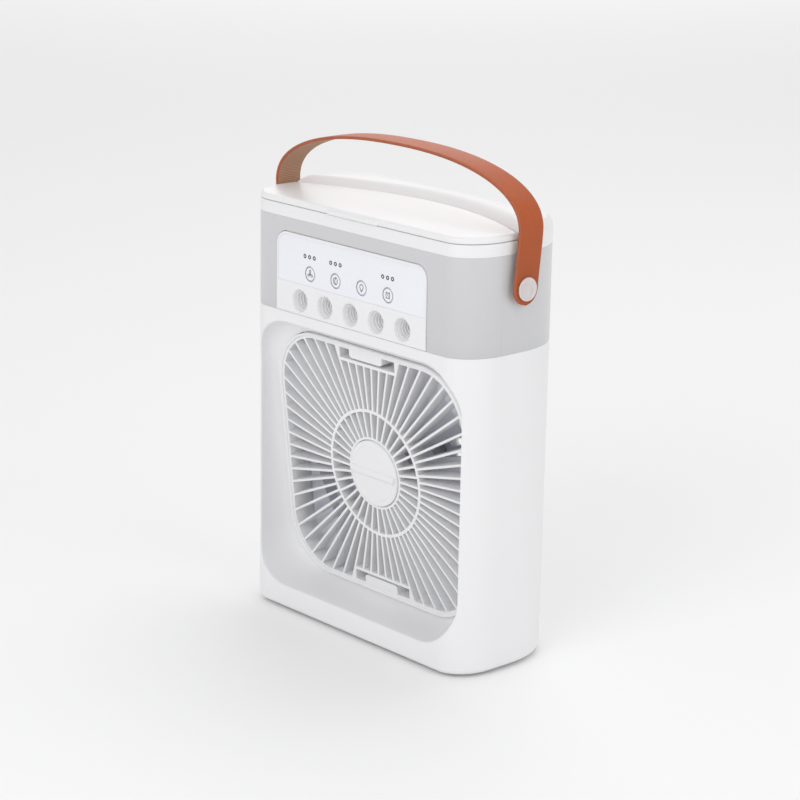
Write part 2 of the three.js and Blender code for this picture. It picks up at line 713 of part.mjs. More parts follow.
function controlPanel() {
  const face = FRONT + 0.8;
  const outer = solid(facing(prism(panelOutline(0), FRONT - PANEL.deep, face)));
  const inner = solid(facing(prism(panelOutline(-1.8), FRONT - PANEL.deep - 5, face - 2.4)));
  let body = outer.subtract(inner);
  const film = solid(facing(prism(filmOutline(GAP / 2), face - 0.7, face + 5)));
  body = body.subtract(film);
  for (let i = 0; i < NOZZLE.count; i += 1) {
    const bore = facing(turned([[NOZZLE.outer - 0.4, 20], [NOZZLE.outer - 0.4, 45]], 18));
    body = body.subtract(solid(bore).translate([nozzleX(i), 0, NOZZLE.z]));
  }
  for (const x of BUTTON.columns) {
    const bore = facing(turned([[BUTTON.radius + 0.3, 30], [BUTTON.radius + 0.3, 45]], 14));
    body = body.subtract(solid(bore).translate([x, 0, BUTTON.z]));
  }
  for (const [x, z] of pipCentres().flat()) {
    const bore = facing(turned([[PIP.radius + 0.2, 30], [PIP.radius + 0.2, 45]], 6));
    body = body.subtract(solid(bore).translate([x, 0, z]));
  }
  place('control_panel', body, WHITE);
}

function filmOutline(grow) {
  const middle = (FILM_BOTTOM + PANEL.top - 1.4) / 2;
  const half = (PANEL.top - 1.4 - FILM_BOTTOM) / 2;
  return roundedRect(PANEL.x, middle, PANEL.halfX - 1.4 + grow, half + grow, 5.6 + grow, 4);
}

function panelFilm() {
  const holes = BUTTON.columns.map((x) => round2(x, BUTTON.z, BUTTON.radius + 0.3, 14));
  for (const [x, z] of pipCentres().flat()) {
    holes.push(round2(x, z, PIP.radius + 0.2, 6));
  }
  const sheet = prism(filmOutline(-GAP / 2), FRONT + 0.3, FRONT + 0.8, holes);
  place('panel_film', facing(sheet), FILM);
}

function buttons() {
  BUTTON.columns.forEach((x, i) => {
    const key = facing(turned([
      [1.2, FRONT - 4.1], [1.2, FRONT - 3.2], [4.7, FRONT - 3.2], [4.7, FRONT - 2.1],
      [BUTTON.radius, FRONT - 2.1], [BUTTON.radius, FRONT + 0.8],
    ], 14));
    place(`button_${i + 1}`, key.translate(x, 0, BUTTON.z), FILM);
  });
}

// Three light pips moulded on one carrier bar behind the panel.
function lightGuides() {
  pipCentres().forEach((pips, i) => {
    const bar = prism(roundedRect(pips[1][0], PIP.z, 5.6, 1.7, 0.8, 1), FRONT - 3.6, FRONT - 1.9);
    const parts = pips.map(([x, z]) => {
      return turned([[PIP.radius, FRONT - 2.4], [PIP.radius, FRONT + 0.7]], 6).translate(x, z, 0);
    });
    place(`light_guide_${i + 1}`, joined(...[bar, ...parts].map(facing)), FILM);
  });
}

// ---------------------------------------------------------------- mist outlets

function mistOutlets() {
  const lip = NOZZLE.outer;
  for (let i = 0; i < NOZZLE.count; i += 1) {
    const nozzle = facing(turned([
      [lip - 0.9, FRONT + PROUD], [lip - 0.7, FRONT - 8], [NOZZLE.throat - 1.4, FRONT - 8],
      [NOZZLE.throat - 1.4, FRONT - 6], [NOZZLE.throat, FRONT - 6], [NOZZLE.throat, FRONT - 2.2],
    ], 18, true));
    place(`mist_nozzle_${i + 1}`, nozzle.translate(nozzleX(i), 0, NOZZLE.z), WHITE);
    const disc = facing(turned([[5.6, FRONT - 9.8], [5.6, FRONT - 8.3]], 12));
    place(`mist_disc_${i + 1}`, disc.translate(nozzleX(i), 0, NOZZLE.z), BRASS);
    const wick = facing(turned([[2.6, -6], [WICK, -5.4], [WICK, FRONT - 10.1]], 10));
    place(`wick_${i + 1}`, wick.translate(nozzleX(i), 0, NOZZLE.z), COTTON);
  }
}

// ---------------------------------------------------------------- strap handle

function strapPath() {
  const points = [];
  const end = PIVOT.z - STRAP.wide / 2;
  for (const drop of [0, 0.05, 0.18, 0.42, 0.7, 1]) {
    points.push([STRAP.halfX, end + (drop * STRAP.wide) / 2]);
  }
  points.push([STRAP.halfX, 203]);
  const steps = 15;
  for (let i = 0; i <= steps; i += 1) {
    const a = (i / steps) * (Math.PI / 2);
    const across = Math.cos(a) ** (2 / STRAP.power);
    const up = Math.sin(a) ** (2 / STRAP.power);
    points.push([STRAP.halfX * across, STRAP.bend + STRAP.rise * up]);
  }
  const mirrored = points.slice(0, -1).reverse().map(([x, z]) => [-x, z]);
  return points.concat(mirrored);
}

function strapWidth(z) {
  const end = PIVOT.z - STRAP.wide / 2;
  const inset = Math.min((z - end) / (STRAP.wide / 2), 1);
  return Math.max(STRAP.wide * Math.sqrt(1 - (1 - inset) ** 2), 2.5);
}

// The strap leans back on the right and forward on the left, so it crosses over in a slight twist.
function strap() {
  const path = strapPath();
  const rings = path.map(([x, z], i) => {
    const [ax, az] = path[Math.max(i - 1, 0)];
    const [bx, bz] = path[Math.min(i + 1, path.length - 1)];
    const along = new THREE.Vector2(bx - ax, bz - az).normalize();
    const lift = THREE.MathUtils.smoothstep(z, PIVOT.z - 4, PIVOT.z + 30);
    const y = PIVOT.y + STRAP.lean * (x / STRAP.halfX) * lift;
    const half = strapWidth(z) / 2;
    const thick = STRAP.thick / 2;
    return [[-half, 0], [-half + 0.8, 1], [half - 0.8, 1],
      [half, 0], [half - 0.8, -1], [-half + 0.8, -1]].map(([w, t]) => {
      return new THREE.Vector3(x - along.y * t * thick, y + w, z + along.x * t * thick);
    });
  });
  let belt = solid(loft(rings));
  for (const side of [-1, 1]) {
    const hole = turned([[2.6, 76], [2.6, 95]], 12).rotateY((side * Math.PI) / 2);
    belt = belt.subtract(solid(hole).translate([0, PIVOT.y, PIVOT.z]));
  }
  place('strap', belt, LEATHER);
}

// Rivets hold the strap ends: inner head, post, shoulder against the tank and a domed cap.
function rivets() {
  const inner = WIDTH / 2 - 2.5;
  const outer = STRAP.halfX + STRAP.thick / 2 + 0.3;
  [-1, 1].forEach((side, i) => {
    const body = turned([
      [3.6, inner - 1.2], [3.6, inner], [2.2, inner], [2.2, WIDTH / 2 + 0.3],
      [3.8, WIDTH / 2 + 0.3], [3.8, STRAP.halfX - STRAP.thick / 2 - 0.3],
      [2.2, STRAP.halfX - STRAP.thick / 2 - 0.3], [2.2, outer], [5.75, outer],
      [5.2, outer + 1], [2.6, outer + 1.8],
    ], 16).rotateY((side * Math.PI) / 2);
    place(`strap_rivet_${i + 1}`, body.translate(0, PIVOT.y, PIVOT.z), PEARL);
  });
}

lowerHousing();
feet();
rearCover();
coverScrews();
frontGrille();
hubCap();
fanShroud();
impeller();
fanDrive();
rearGuard();
boards();
tank();
tankRim();
rearCap();
lid();
controlPanel();
panelFilm();
buttons();
lightGuides();
mistOutlets();
strap();
rivets();

export default group;
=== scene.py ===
"""Tabletop misting air cooler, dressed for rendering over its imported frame.

Run as a script inside Blender 4.5. Lengths are worked in millimetres and turned to metres
when a mesh is made; the frame's own parts give every position.
"""
import math

import bpy
from bpy.props import FloatProperty, FloatVectorProperty, IntProperty, PointerProperty
from mathutils import Matrix, Vector


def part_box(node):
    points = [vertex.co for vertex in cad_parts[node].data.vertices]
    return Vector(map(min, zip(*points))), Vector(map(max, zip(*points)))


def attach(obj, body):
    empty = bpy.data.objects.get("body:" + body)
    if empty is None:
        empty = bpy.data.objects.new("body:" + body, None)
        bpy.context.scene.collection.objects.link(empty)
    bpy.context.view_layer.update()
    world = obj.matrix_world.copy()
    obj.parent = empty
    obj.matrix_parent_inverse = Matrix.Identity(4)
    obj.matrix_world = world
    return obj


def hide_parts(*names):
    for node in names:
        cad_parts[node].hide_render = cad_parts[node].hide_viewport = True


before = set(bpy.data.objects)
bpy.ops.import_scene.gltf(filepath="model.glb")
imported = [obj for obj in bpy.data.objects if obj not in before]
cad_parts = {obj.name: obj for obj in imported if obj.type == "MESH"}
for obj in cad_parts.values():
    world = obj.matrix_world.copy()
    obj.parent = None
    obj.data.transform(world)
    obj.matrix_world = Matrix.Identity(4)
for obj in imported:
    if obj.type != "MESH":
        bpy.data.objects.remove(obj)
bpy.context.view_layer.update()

bl_info = {
    "name": "Misting Air Cooler",
    "version": (1, 0, 0),
    "blender": (4, 5, 0),
    "location": "View3D > Sidebar > Cooler",
    "description": "Builds and finishes a tabletop misting air cooler over its frame",
    "category": "Object",
}

MM = 0.001


# ------------------------------------------------------------------ sizes read from the frame

def span(node):
    """Lowest and highest corner of a frame node, in millimetres."""
    low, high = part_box(node)
    return Vector(low) / MM, Vector(high) / MM


def middle(node):
    """Centre of a frame node's box."""
    low, high = span(node)
    return (low + high) / 2


def numbered(stem, count):
    return [f"{stem}_{i}" for i in range(1, count + 1)]


HOUSING_LOW, HOUSING_HIGH = span("lower_housing")
HALF_X = HOUSING_HIGH.x
FRONT = HOUSING_HIGH.y
UNDERSIDE = HOUSING_LOW.z
SEAM_LOW = HOUSING_HIGH.z
SEAM_HIGH = span("water_tank")[0].z
TANK_TOP = span("water_tank")[1].z
RIM_LOW, RIM_TOP = span("tank_rim")[0].z, span("tank_rim")[1].z
MOULD_GAP = 0.3
LID_LOW, LID_TOP = RIM_TOP + MOULD_GAP, span("lid")[1].z
LID_ROLL = 1.7
RIDGE_TOP = span("rear_cap")[1].z
FRONT_CORNER = (17.0, 22.0)
REAR_CORNER = (26.0, 36.0)
HOUSING_WALL = 2.4
FOOT_ROLL = ((0.0, 3.2), (0.25, 2.1), (0.9, 1.0), (1.9, 0.3), (3.2, 0.0))

GRILLE_HALF = (span("front_grille")[1].x, 66.0)
GRILLE_CORNER = 30.0
GRILLE_DEEP = 8.0
GRILLE_BAND = 2.8
SEAT_GAP = 0.35
TILT = math.radians(6.2)
HUB = Vector((0.0, -19.0, 83.8))
HUB_RADIUS = 19.0
MID_RING = (32.2, 33.8)
INNER_SPOKES = 36
OUTER_SPOKES = 62
LATCH_LINE = 57.0
RECESS_HALF = (75.0, 70.25)
RECESS_MID = 84.25
RECESS_CORNER = 24.0

PANEL_LOW, PANEL_HIGH = span("control_panel")
PANEL_X = (PANEL_LOW.x + PANEL_HIGH.x) / 2
PANEL_HALF = (PANEL_HIGH.x - PANEL_LOW.x) / 2
PANEL_FACE = -PANEL_LOW.y
FILM_LOW, FILM_HIGH = span("panel_film")
NOZZLES = [middle(n) for n in numbered("mist_nozzle", 5)]
BUTTONS = [middle(n) for n in numbered("button", 4)]
GUIDES = [middle(n) for n in numbered("light_guide", 3)]
BUTTON_RADIUS = 3.75
PIP_PITCH = 3.55

ARC_Y, ARC_DROP, ARC_GAP = 18.3, 22.0, 0.8
ARC_REACH, ARC_SIDE = 95, 60
CAP_ROLL = 9.0
HINGE = middle("hinge_pin_1")
BARREL_X = 24
BARREL_RADIUS = 2.1
PIN_BORE = 1.3
EAR_PLACES = (-31, -17, 17, 31)
STRAP_HIGH = span("strap")[1]
PIVOT_Y, PIVOT_Z = middle("strap_rivet_1").yz
STRAP_KINDS = ("face", "edge", "lining")
STRAP_WIDE = 15.8
STRAP_THICK = 1.8
STRAP_HALF_X = STRAP_HIGH.x - STRAP_THICK / 2
STRAP_BEND = 219.0
STRAP_RISE = STRAP_HIGH.z - STRAP_THICK / 2 - STRAP_BEND
STRAP_POWER = 2.3
STRAP_LEAN = 2.6

FACING = Matrix(((1, 0, 0), (0, 0, -1), (0, 1, 0))).to_4x4()
FAN_FRAME = Matrix.Translation(HUB) @ Matrix((
    (1, 0, 0),
    (0, -math.sin(TILT), -math.cos(TILT)),
    (0, math.cos(TILT), -math.sin(TILT)),
)).to_4x4()


# ------------------------------------------------------------------ shapes

class Form:
    """Corners and faces of a closed shape, in millimetres."""

    def __init__(self, verts=(), faces=()):
        self.verts = [Vector(v) for v in verts]
        self.faces = [tuple(f) for f in faces]

    def __add__(self, other):
        shift = len(self.verts)
        faces = self.faces + [tuple(i + shift for i in f) for f in other.faces]
        return Form(self.verts + other.verts, faces)

    def moved(self, matrix):
        return Form([matrix @ v for v in self.verts], self.faces)

    def at(self, x=0.0, y=0.0, z=0.0):
        return self.moved(Matrix.Translation((x, y, z)))


def loft(rings, loop=False):
    """Skins matching rings one after another; a loop closes on itself, else the ends are capped."""
    count = len(rings[0])
    verts = [v for ring in rings for v in ring]
    faces = []
    spans = len(rings) if loop else len(rings) - 1
    for r in range(spans):
        above = ((r + 1) % len(rings)) * count
        for i in range(count):
            j = (i + 1) % count
            faces.append((r * count + i, r * count + j, above + j, above + i))
    if not loop:
        last = (len(rings) - 1) * count
        faces.append(tuple(reversed(range(count))))
        faces.append(tuple(range(last, last + count)))
    return upright(Form(verts, faces))


def upright(form):
    """Turns every face outward where the shape came out inside out."""
    volume = 0.0
    for face in form.faces:
        a = form.verts[face[0]]
        for i in range(1, len(face) - 1):
            volume += a.dot(form.verts[face[i]].cross(form.verts[face[i + 1]]))
    if volume < 0:
        form.faces = [tuple(reversed(f)) for f in form.faces]
    return form


def circle(radius, segments, z=0.0):
    turn = 2 * math.pi / segments
    return [Vector((radius * math.cos(i * turn), radius * math.sin(i * turn), z))
            for i in range(segments)]


def turned(profile, segments, bored=False):
    """Turns a (radius, height) profile about Z; a bored one closes round its own outline."""
    return loft([circle(radius, segments, z) for radius, z in profile], bored)


def prism(outline, low, high):
    return loft([[Vector((x, y, z)) for x, y in outline] for z in (low, high)])


def rounded_prism(outline_at, low, high, edge, steps=4):
    """A plate whose top edge is rolled over by `edge`; outline_at(inset) gives its outline."""
    levels = [(low, 0.0), (high - edge, 0.0)]
    for k in range(1, steps + 1):
        a = math.pi / 2 * k / steps
        levels.append((high - edge + edge * math.sin(a), edge * (1 - math.cos(a))))
    return loft([[Vector((x, y, z)) for x, y in outline_at(inset)] for z, inset in levels])


def rounded_rect(x, y, half_x, half_y, radius, steps):
    points = []
    for sx, sy, start in ((1, -1, -90), (1, 1, 0), (-1, 1, 90), (-1, -1, 180)):
        for i in range(steps + 1):
            a = math.radians(start + 90 * i / steps)
            points.append((x + sx * (half_x - radius) + radius * math.cos(a),
                           y + sy * (half_y - radius) + radius * math.sin(a)))
    return points


def plan(inset, steps=22):
    """The body seen from above: tight front corners and long sweeping rear ones."""
    points = []
    corners = ((1, -1, -90, FRONT_CORNER), (1, 1, 0, REAR_CORNER),
               (-1, 1, 90, REAR_CORNER), (-1, -1, 180, FRONT_CORNER))
    for sx, sy, start, (rx, ry) in corners:
        for i in range(steps + 1):
            a = math.radians(start + 90 * i / steps)
            points.append((sx * (HALF_X - rx) + (rx - inset) * math.cos(a),
                           sy * (FRONT - ry) + (ry - inset) * math.sin(a)))
    return points


def stack(levels, steps=22):
    """The body's plan drawn in by an inset at each (height, inset) level."""
    return loft([[Vector((x, y, z)) for x, y in plan(inset, steps)] for z, inset in levels])


def front_at(x):
    """How far in front of the middle the body's face stands at this width."""
    beyond = max(abs(x) - (HALF_X - FRONT_CORNER[0]), 0.0) / FRONT_CORNER[0]
    return FRONT - FRONT_CORNER[1] * (1 - math.sqrt(max(1 - min(beyond, 1.0) ** 2, 0.0)))


def arc_at(x):
    """Where the line between lid and rear cap runs at this width."""
    return ARC_Y - ARC_DROP * (min(abs(x), 84.0) / HALF_X) ** 2


def arc_line(shift):
    """Points along the arc from left to right, moved back by `shift`."""
    steps = 76
    widths = [-ARC_REACH + 2 * ARC_REACH * i / steps for i in range(steps + 1)]
    return [(x, arc_at(x) + shift) for x in widths]


def arc_loft(levels):
    """Everything in front of the arc, with the arc edge shifted level by level."""
    front = [(ARC_REACH, -ARC_SIDE), (-ARC_REACH, -ARC_SIDE)]
    return loft([[Vector((x, y, z)) for x, y in arc_line(shift) + front] for z, shift in levels])


def beyond_arc(shift, behind, low, high):
    """Everything on one side of the arc, as an upright prism."""
    edge = ARC_SIDE if behind else -ARC_SIDE
    return prism(arc_line(shift) + [(ARC_REACH, edge), (-ARC_REACH, edge)], low, high)


# ------------------------------------------------------------------ objects

def raw_object(name, form):
    """A scene object from a form, not yet finished or hung on a body."""
    mesh = bpy.data.meshes.new(name)
    mesh.from_pydata([v * MM for v in form.verts], [], form.faces)
    mesh.validate()
    obj = bpy.data.objects.new(name, mesh)
    bpy.context.scene.collection.objects.link(obj)
    return obj


def carve(obj, *steps):
    """Cuts or joins forms one after another: each step is (operation, form)."""
    for operation, form in steps:
        tool = raw_object("tool", form)
        work = obj.modifiers.new("carve", "BOOLEAN")
        work.operation = operation
        work.solver = "MANIFOLD"
        work.object = tool
        depsgraph = bpy.context.evaluated_depsgraph_get()
        result = bpy.data.meshes.new_from_object(obj.evaluated_get(depsgraph))
        if not result.polygons:
            raise RuntimeError(f"carving {obj.name} left nothing")
        obj.modifiers.remove(work)
        old = obj.data
        obj.data = result
        bpy.data.meshes.remove(old)
        bpy.data.objects.remove(tool)
    return obj


def carved(form, *steps):
    """The form left after carving, for use as a tool in its turn."""
    work = carve(raw_object("work", form), *steps)
    result = Form([v.co / MM for v in work.data.vertices],
                  [tuple(face.vertices) for face in work.data.polygons])
    bpy.data.objects.remove(work)
    return result


def soften(obj, width, angle=32, segments=2):
    """Rounds the sharp edges by `width` millimetres."""
    bevel = obj.modifiers.new("soft edges", "BEVEL")
    bevel.limit_method = "ANGLE"
    bevel.angle_limit = math.radians(angle)
    bevel.width = width * MM
    bevel.segments = segments
    bevel.harden_normals = True


def tilt_to_fan(obj):
    """Turns a piece drawn flat about the hub into the fan's tilted frame."""
    obj.data.transform(Matrix.Scale(MM, 4) @ FAN_FRAME @ Matrix.Scale(1 / MM, 4))


def settle(obj, body, material, replaces=(), crease=38):
    """Shades, paints and hangs a finished piece on its body."""
    obj.data.shade_smooth()
    obj.data.set_sharp_from_angle(angle=math.radians(crease))
    finishes = material if isinstance(material, (list, tuple)) else [material]
    painted = [min(face.material_index, len(finishes) - 1) for face in obj.data.polygons]
    obj.data.materials.clear()
    for finish in finishes:
        obj.data.materials.append(finish)
    for face, index in zip(obj.data.polygons, painted):
        face.material_index = index
    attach(obj, body)
    if replaces:
        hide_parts(*replaces)
    return obj


def dress(nodes, material, edge=None):
    """Gives frame nodes their finish and, where asked, a soft moulded edge."""
    for name in nodes:
        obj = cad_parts[name]
        obj.data.materials.clear()
        obj.data.materials.append(material)
        if edge:
            soften(obj, edge)


# ------------------------------------------------------------------ materials

class Shade:
    """A number socket that takes part in plain arithmetic."""

    def __init__(self, finish, socket):
        self.finish = finish
        self.socket = socket

    def _do(self, operation, first, second):
        values = [v.socket if isinstance(v, Shade) else v for v in (first, second)]
        node = self.finish.node("ShaderNodeMath", {"operation": operation}, {0: values[0], 1: values[1]})
        return Shade(self.finish, node.outputs[0])

    def __add__(self, other):
        return self._do("ADD", self, other)

    __radd__ = __add__

    def __sub__(self, other):
        return self._do("SUBTRACT", self, other)

    def __rsub__(self, other):
        return self._do("SUBTRACT", other, self)

    def __mul__(self, other):
        return self._do("MULTIPLY", self, other)

    __rmul__ = __mul__

class Finish:
    """A procedural material being put together round one Principled shader."""

    def __init__(self, name, **constants):
        self.material = bpy.data.materials.new(name)
        self.material.use_nodes = True
        self.tree = self.material.node_tree
        self.tree.nodes.clear()
        output = self.tree.nodes.new("ShaderNodeOutputMaterial")
        self.shader = self.node("ShaderNodeBsdfPrincipled", {}, constants)
        self.tree.links.new(self.shader.outputs[0], output.inputs["Surface"])
        self.place = self.node("ShaderNodeTexCoord").outputs["Object"]

    def node(self, kind, settings=None, inputs=None):
        node = self.tree.nodes.new(kind)
        for key, value in (settings or {}).items():
            if key == "stops":
                self._stops(node.color_ramp, value)
            else:
                setattr(node, key, value)
        for key, value in (inputs or {}).items():
            socket = node.inputs[key]
            value = value.socket if isinstance(value, Shade) else value
            if isinstance(value, bpy.types.NodeSocket):
                self.tree.links.new(value, socket)
            else:
                socket.default_value = value
        return node

    @staticmethod
    def _stops(ramp, stops):
        while len(ramp.elements) < len(stops):
            ramp.elements.new(0.5)
        for element, (at, level) in zip(ramp.elements, stops):
            element.position = at
            element.color = (level, level, level, 1)

    def stretched(self, scale, place=None):
        return self.node("ShaderNodeVectorMath", {"operation": "MULTIPLY"},
                         {0: place or self.place, 1: scale}).outputs[0]

    def noise(self, scale, detail=2.0, rough=0.5, place=None):
        node = self.node("ShaderNodeTexNoise", {}, {
            "Vector": place or self.place, "Scale": scale, "Detail": detail, "Roughness": rough})
        return Shade(self, node.outputs["Fac"])

    def ramp(self, value, stops):
        node = self.node("ShaderNodeValToRGB", {"stops": stops}, {"Fac": value})
        return Shade(self, node.outputs["Color"])

    def mix(self, factor, first, second):
        colours = [c if isinstance(c, bpy.types.NodeSocket) else (*c[:3], 1) for c in (first, second)]
        node = self.node("ShaderNodeMix", {"data_type": "RGBA"},
                         {0: factor, 6: colours[0], 7: colours[1]})
        return node.outputs[2]

    def coat(self, **links):
        for name, value in links.items():
            value = value.socket if isinstance(value, Shade) else value
            self.tree.links.new(value, self.shader.inputs[name.replace("_", " ")])
        return self

    def bump(self, height, strength, distance):
        node = self.node("ShaderNodeBump", {}, {
            "Strength": strength, "Distance": distance * MM, "Height": height})
        self.tree.links.new(node.outputs["Normal"], self.shader.inputs["Normal"])
        return self


def tone(colour, factor):
    return tuple(min(c * factor, 1.0) for c in colour[:3])


def moulded_plastic(name, colour, rough, grain=0.12, spread=0.03, coat=0.0, seed=0.0):
    """Satin moulded plastic: faint cloudiness, fine spark texture and uneven sheen."""
    finish = Finish(name, **{"Coat Weight": coat, "Coat Roughness": 0.25, "IOR": 1.48})
    cloud = finish.noise(14 + seed, 3)
    flow = finish.noise(9 + seed, 2, place=finish.stretched((1, 1, 0.25)))
    spark = finish.noise(2600, 2)
    shade = 0.55 * cloud + 0.45 * flow
    finish.coat(
        Base_Color=finish.mix(shade, tone(colour, 1 - spread), tone(colour, 1 + spread * 0.5)),
        Roughness=rough - 0.05 + 0.1 * cloud + 0.04 * spark,
    )
    finish.bump(spark, grain, 0.05)
    return finish.material


def tank_plastic(colour):
    """Frosted grey tank wall: a little darker towards the foot and lighter towards the rim, with faint
    flow lines.
    """
    finish = Finish("tank plastic", **{"Coat Weight": 0.25, "Coat Roughness": 0.12, "IOR": 1.5})
    height = Shade(finish, finish.node("ShaderNodeSeparateXYZ", {}, {0: finish.place}).outputs["Z"])
    # the base colour runs darker towards the foot and lighter towards the rim
    foot_to_rim_tone = finish.ramp((height - SEAM_HIGH * MM) * (1000 / (TANK_TOP - SEAM_HIGH)),
                        ((0.0, 0.0), (0.12, 0.5), (0.55, 0.8), (1.0, 1.0)))
    flow = finish.noise(26, 3, place=finish.stretched((9, 9, 0.3)))
    frost = finish.noise(1900, 2)
    finish.coat(
        Base_Color=finish.mix(0.75 * foot_to_rim_tone + 0.25 * flow, tone(colour, 0.94), tone(colour, 1.04)),
        Roughness=0.22 + 0.12 * flow + 0.05 * frost,
    )
    finish.bump(0.6 * frost + 0.4 * flow, 0.1, 0.05)
    return finish.material


def glossy_film(colour):
    finish = Finish("panel film", **{"Coat Weight": 0.4, "Coat Roughness": 0.08, "IOR": 1.49})
    cloud = finish.noise(16, 2)
    orange_peel = finish.noise(420, 2)
    finish.coat(
        Base_Color=finish.mix(cloud, tone(colour, 0.985), tone(colour, 1.01)),
        Roughness=0.2 + 0.1 * orange_peel,
    )
    finish.bump(orange_peel, 0.05, 0.04)
    return finish.material


def strap_leather(colour, wear):
    """Smooth coated leather: pores, creases along the bend, a worn sheen in the roughness and a painted
    highlight that lightens the colour towards the top of the arch.
    """
    finish = Finish("strap leather", **{"Specular IOR Level": 0.22, "IOR": 1.45})
    pores = finish.node("ShaderNodeTexVoronoi", {"feature": "DISTANCE_TO_EDGE"},
                        {"Vector": finish.place, "Scale": 1150, "Randomness": 1.0})
    grain = finish.ramp(Shade(finish, pores.outputs[0]), ((0.0, 0.0), (0.16, 0.75), (0.6, 1.0)))
    patina = finish.noise(38, 4, 0.6)
    streak = finish.noise(52, 3, place=finish.stretched((1, 5, 1)))
    height = Shade(finish, finish.node("ShaderNodeSeparateXYZ", {}, {0: finish.place}).outputs["Z"])
    # painted highlight: the base colour is lightened with height, towards the top of the strap's arch
    painted_highlight_rise = finish.ramp((height - 0.18) * 13, ((0.0, 0.0), (0.45, 0.45), (1.0, 1.0)))
    # the blend mixes the patina and streaks with the painted highlight
    blend = 0.3 * patina + 0.15 * streak + 0.5 * painted_highlight_rise
    base = finish.mix(blend, tone(colour, 0.66), tone(colour, 1.22))
    finish.coat(
        Base_Color=finish.mix((1 - grain) * 0.35, base, tone(colour, 0.5)),
        Roughness=0.42 + 0.16 * patina - wear * 0.1,
    )
    finish.bump(0.7 * grain + 0.3 * patina, 0.32, 0.12)
    return finish.material


def strap_lining(colour):
    """The lighter inner face, pressed with fine ribs across the strap."""
    finish = Finish("strap lining", **{"IOR": 1.45})
    along = finish.node("ShaderNodeUVMap").outputs[0]
    ribs = finish.node("ShaderNodeTexWave", {"wave_type": "BANDS", "bands_direction": "X"},
                       {"Vector": along, "Scale": 0.32, "Distortion": 0.35, "Detail": 2.0,
                        "Detail Scale": 1.5})
    rib = Shade(finish, ribs.outputs["Fac"])
    fuzz = finish.noise(900, 3)
    finish.coat(
        Base_Color=finish.mix(0.8 * rib + 0.2 * fuzz, tone(colour, 0.55), tone(colour, 1.15)),
        Roughness=0.66 + 0.16 * fuzz,
    )
    finish.bump(0.75 * rib + 0.25 * fuzz, 0.5, 0.22)
    return finish.material


def strap_edge(colour):
    finish = Finish("strap edge paint", **{"Coat Weight": 0.1, "IOR": 1.5})
    runs = finish.noise(260, 3)
    finish.coat(Base_Color=finish.mix(runs, tone(colour, 0.85), tone(colour, 1.25)),
                Roughness=0.4 + 0.2 * runs)
    finish.bump(runs, 0.25, 0.08)
    return finish.material


def pearl(colour):
    """Milky rivet cap with a soft swirl under a clear skin."""
    finish = Finish("rivet pearl", **{"Coat Weight": 0.8, "Coat Roughness": 0.06, "IOR": 1.5,
                                      "Subsurface Weight": 0.15, "Subsurface Scale": 0.002})
    swirl = finish.noise(190, 3, place=finish.stretched((1, 1.6, 0.8)))
    finish.coat(Base_Color=finish.mix(swirl, tone(colour, 0.86), tone(colour, 1.12)),
                Roughness=0.18 + 0.14 * swirl)
    finish.bump(swirl, 0.08, 0.05)
    return finish.material


def brushed_metal(name, colour, rough=0.3):
    finish = Finish(name, **{"Metallic": 1.0})
    lines = finish.noise(300, 3, place=finish.stretched((12, 1, 1)))
    finish.coat(Base_Color=finish.mix(lines, tone(colour, 0.82), tone(colour, 1.1)),
                Roughness=rough + 0.15 * lines)
    finish.bump(lines, 0.12, 0.03)
    return finish.material


def speckled(name, dark, light, rough, scale, strength=0.3):
    """Matt stuff with a visible grain: rubber, circuit board, cotton fibre, printing ink."""
    finish = Finish(name, **{"IOR": 1.45})
    grain = finish.noise(scale, 4, 0.6)
    finish.coat(Base_Color=finish.mix(grain, dark, light), Roughness=rough - 0.05 + 0.1 * grain)
    finish.bump(grain, strength, 0.1)
    return finish.material


# ------------------------------------------------------------------ user settings

def colour_setting(name, description, default):
    return FloatVectorProperty(name=name, description=description, default=default,
                               subtype="COLOR", min=0.0, max=1.0, size=3)


def length_setting(name, description, millimetres, low=0.0, high=0.05):
    return FloatProperty(name=name, description=description, default=millimetres * MM,
                         min=low, max=high, unit="LENGTH", subtype="DISTANCE", precision=5)


class CoolerColours(bpy.types.PropertyGroup):
    body: colour_setting("Body", "White of the housing, lid and panel", (0.85, 0.85, 0.862))
    tank: colour_setting("Tank", "Grey of the water tank", (0.60, 0.60, 0.615))
    film: colour_setting("Panel film", "Lavender white behind the keys", (0.86, 0.86, 0.925))
    leather: colour_setting("Strap", "Outer face of the strap", (0.50, 0.115, 0.038))
    lining: colour_setting("Lining", "Inner face of the strap", (0.52, 0.30, 0.19))
    rivet: colour_setting("Rivets", "Pearly rivet caps", (0.66, 0.60, 0.60))
    fan: colour_setting("Fan", "Impeller blades", (0.80, 0.81, 0.87))
    print_ink: colour_setting("Print", "Rings and pictograms on the keys", (0.06, 0.06, 0.065))
    floor: colour_setting("Floor", "Studio floor", (0.94, 0.94, 0.94))


class CoolerSizes(bpy.types.PropertyGroup):
    edge: length_setting("Moulded edge", "Softening of sharp plastic edges", 0.3)
    recess_lip: length_setting("Recess lip", "Rounding where the front dish begins", 1.3)
    line: length_setting("Pictogram line", "Width of the printed lines", 0.34)
    spoke: length_setting("Grille spoke", "Thickness of one spoke", 1.2)
    blades: IntProperty(name="Blades", description="Impeller blades", default=7, min=3, max=11)
    wear: FloatProperty(name="Strap wear", description="How polished the strap has become",
                        default=0.5, min=0.0, max=1.0, subtype="FACTOR")


def colours():
    return bpy.context.scene.cooler_colours


def sizes():
    return bpy.context.scene.cooler_sizes


# ------------------------------------------------------------------ the pieces

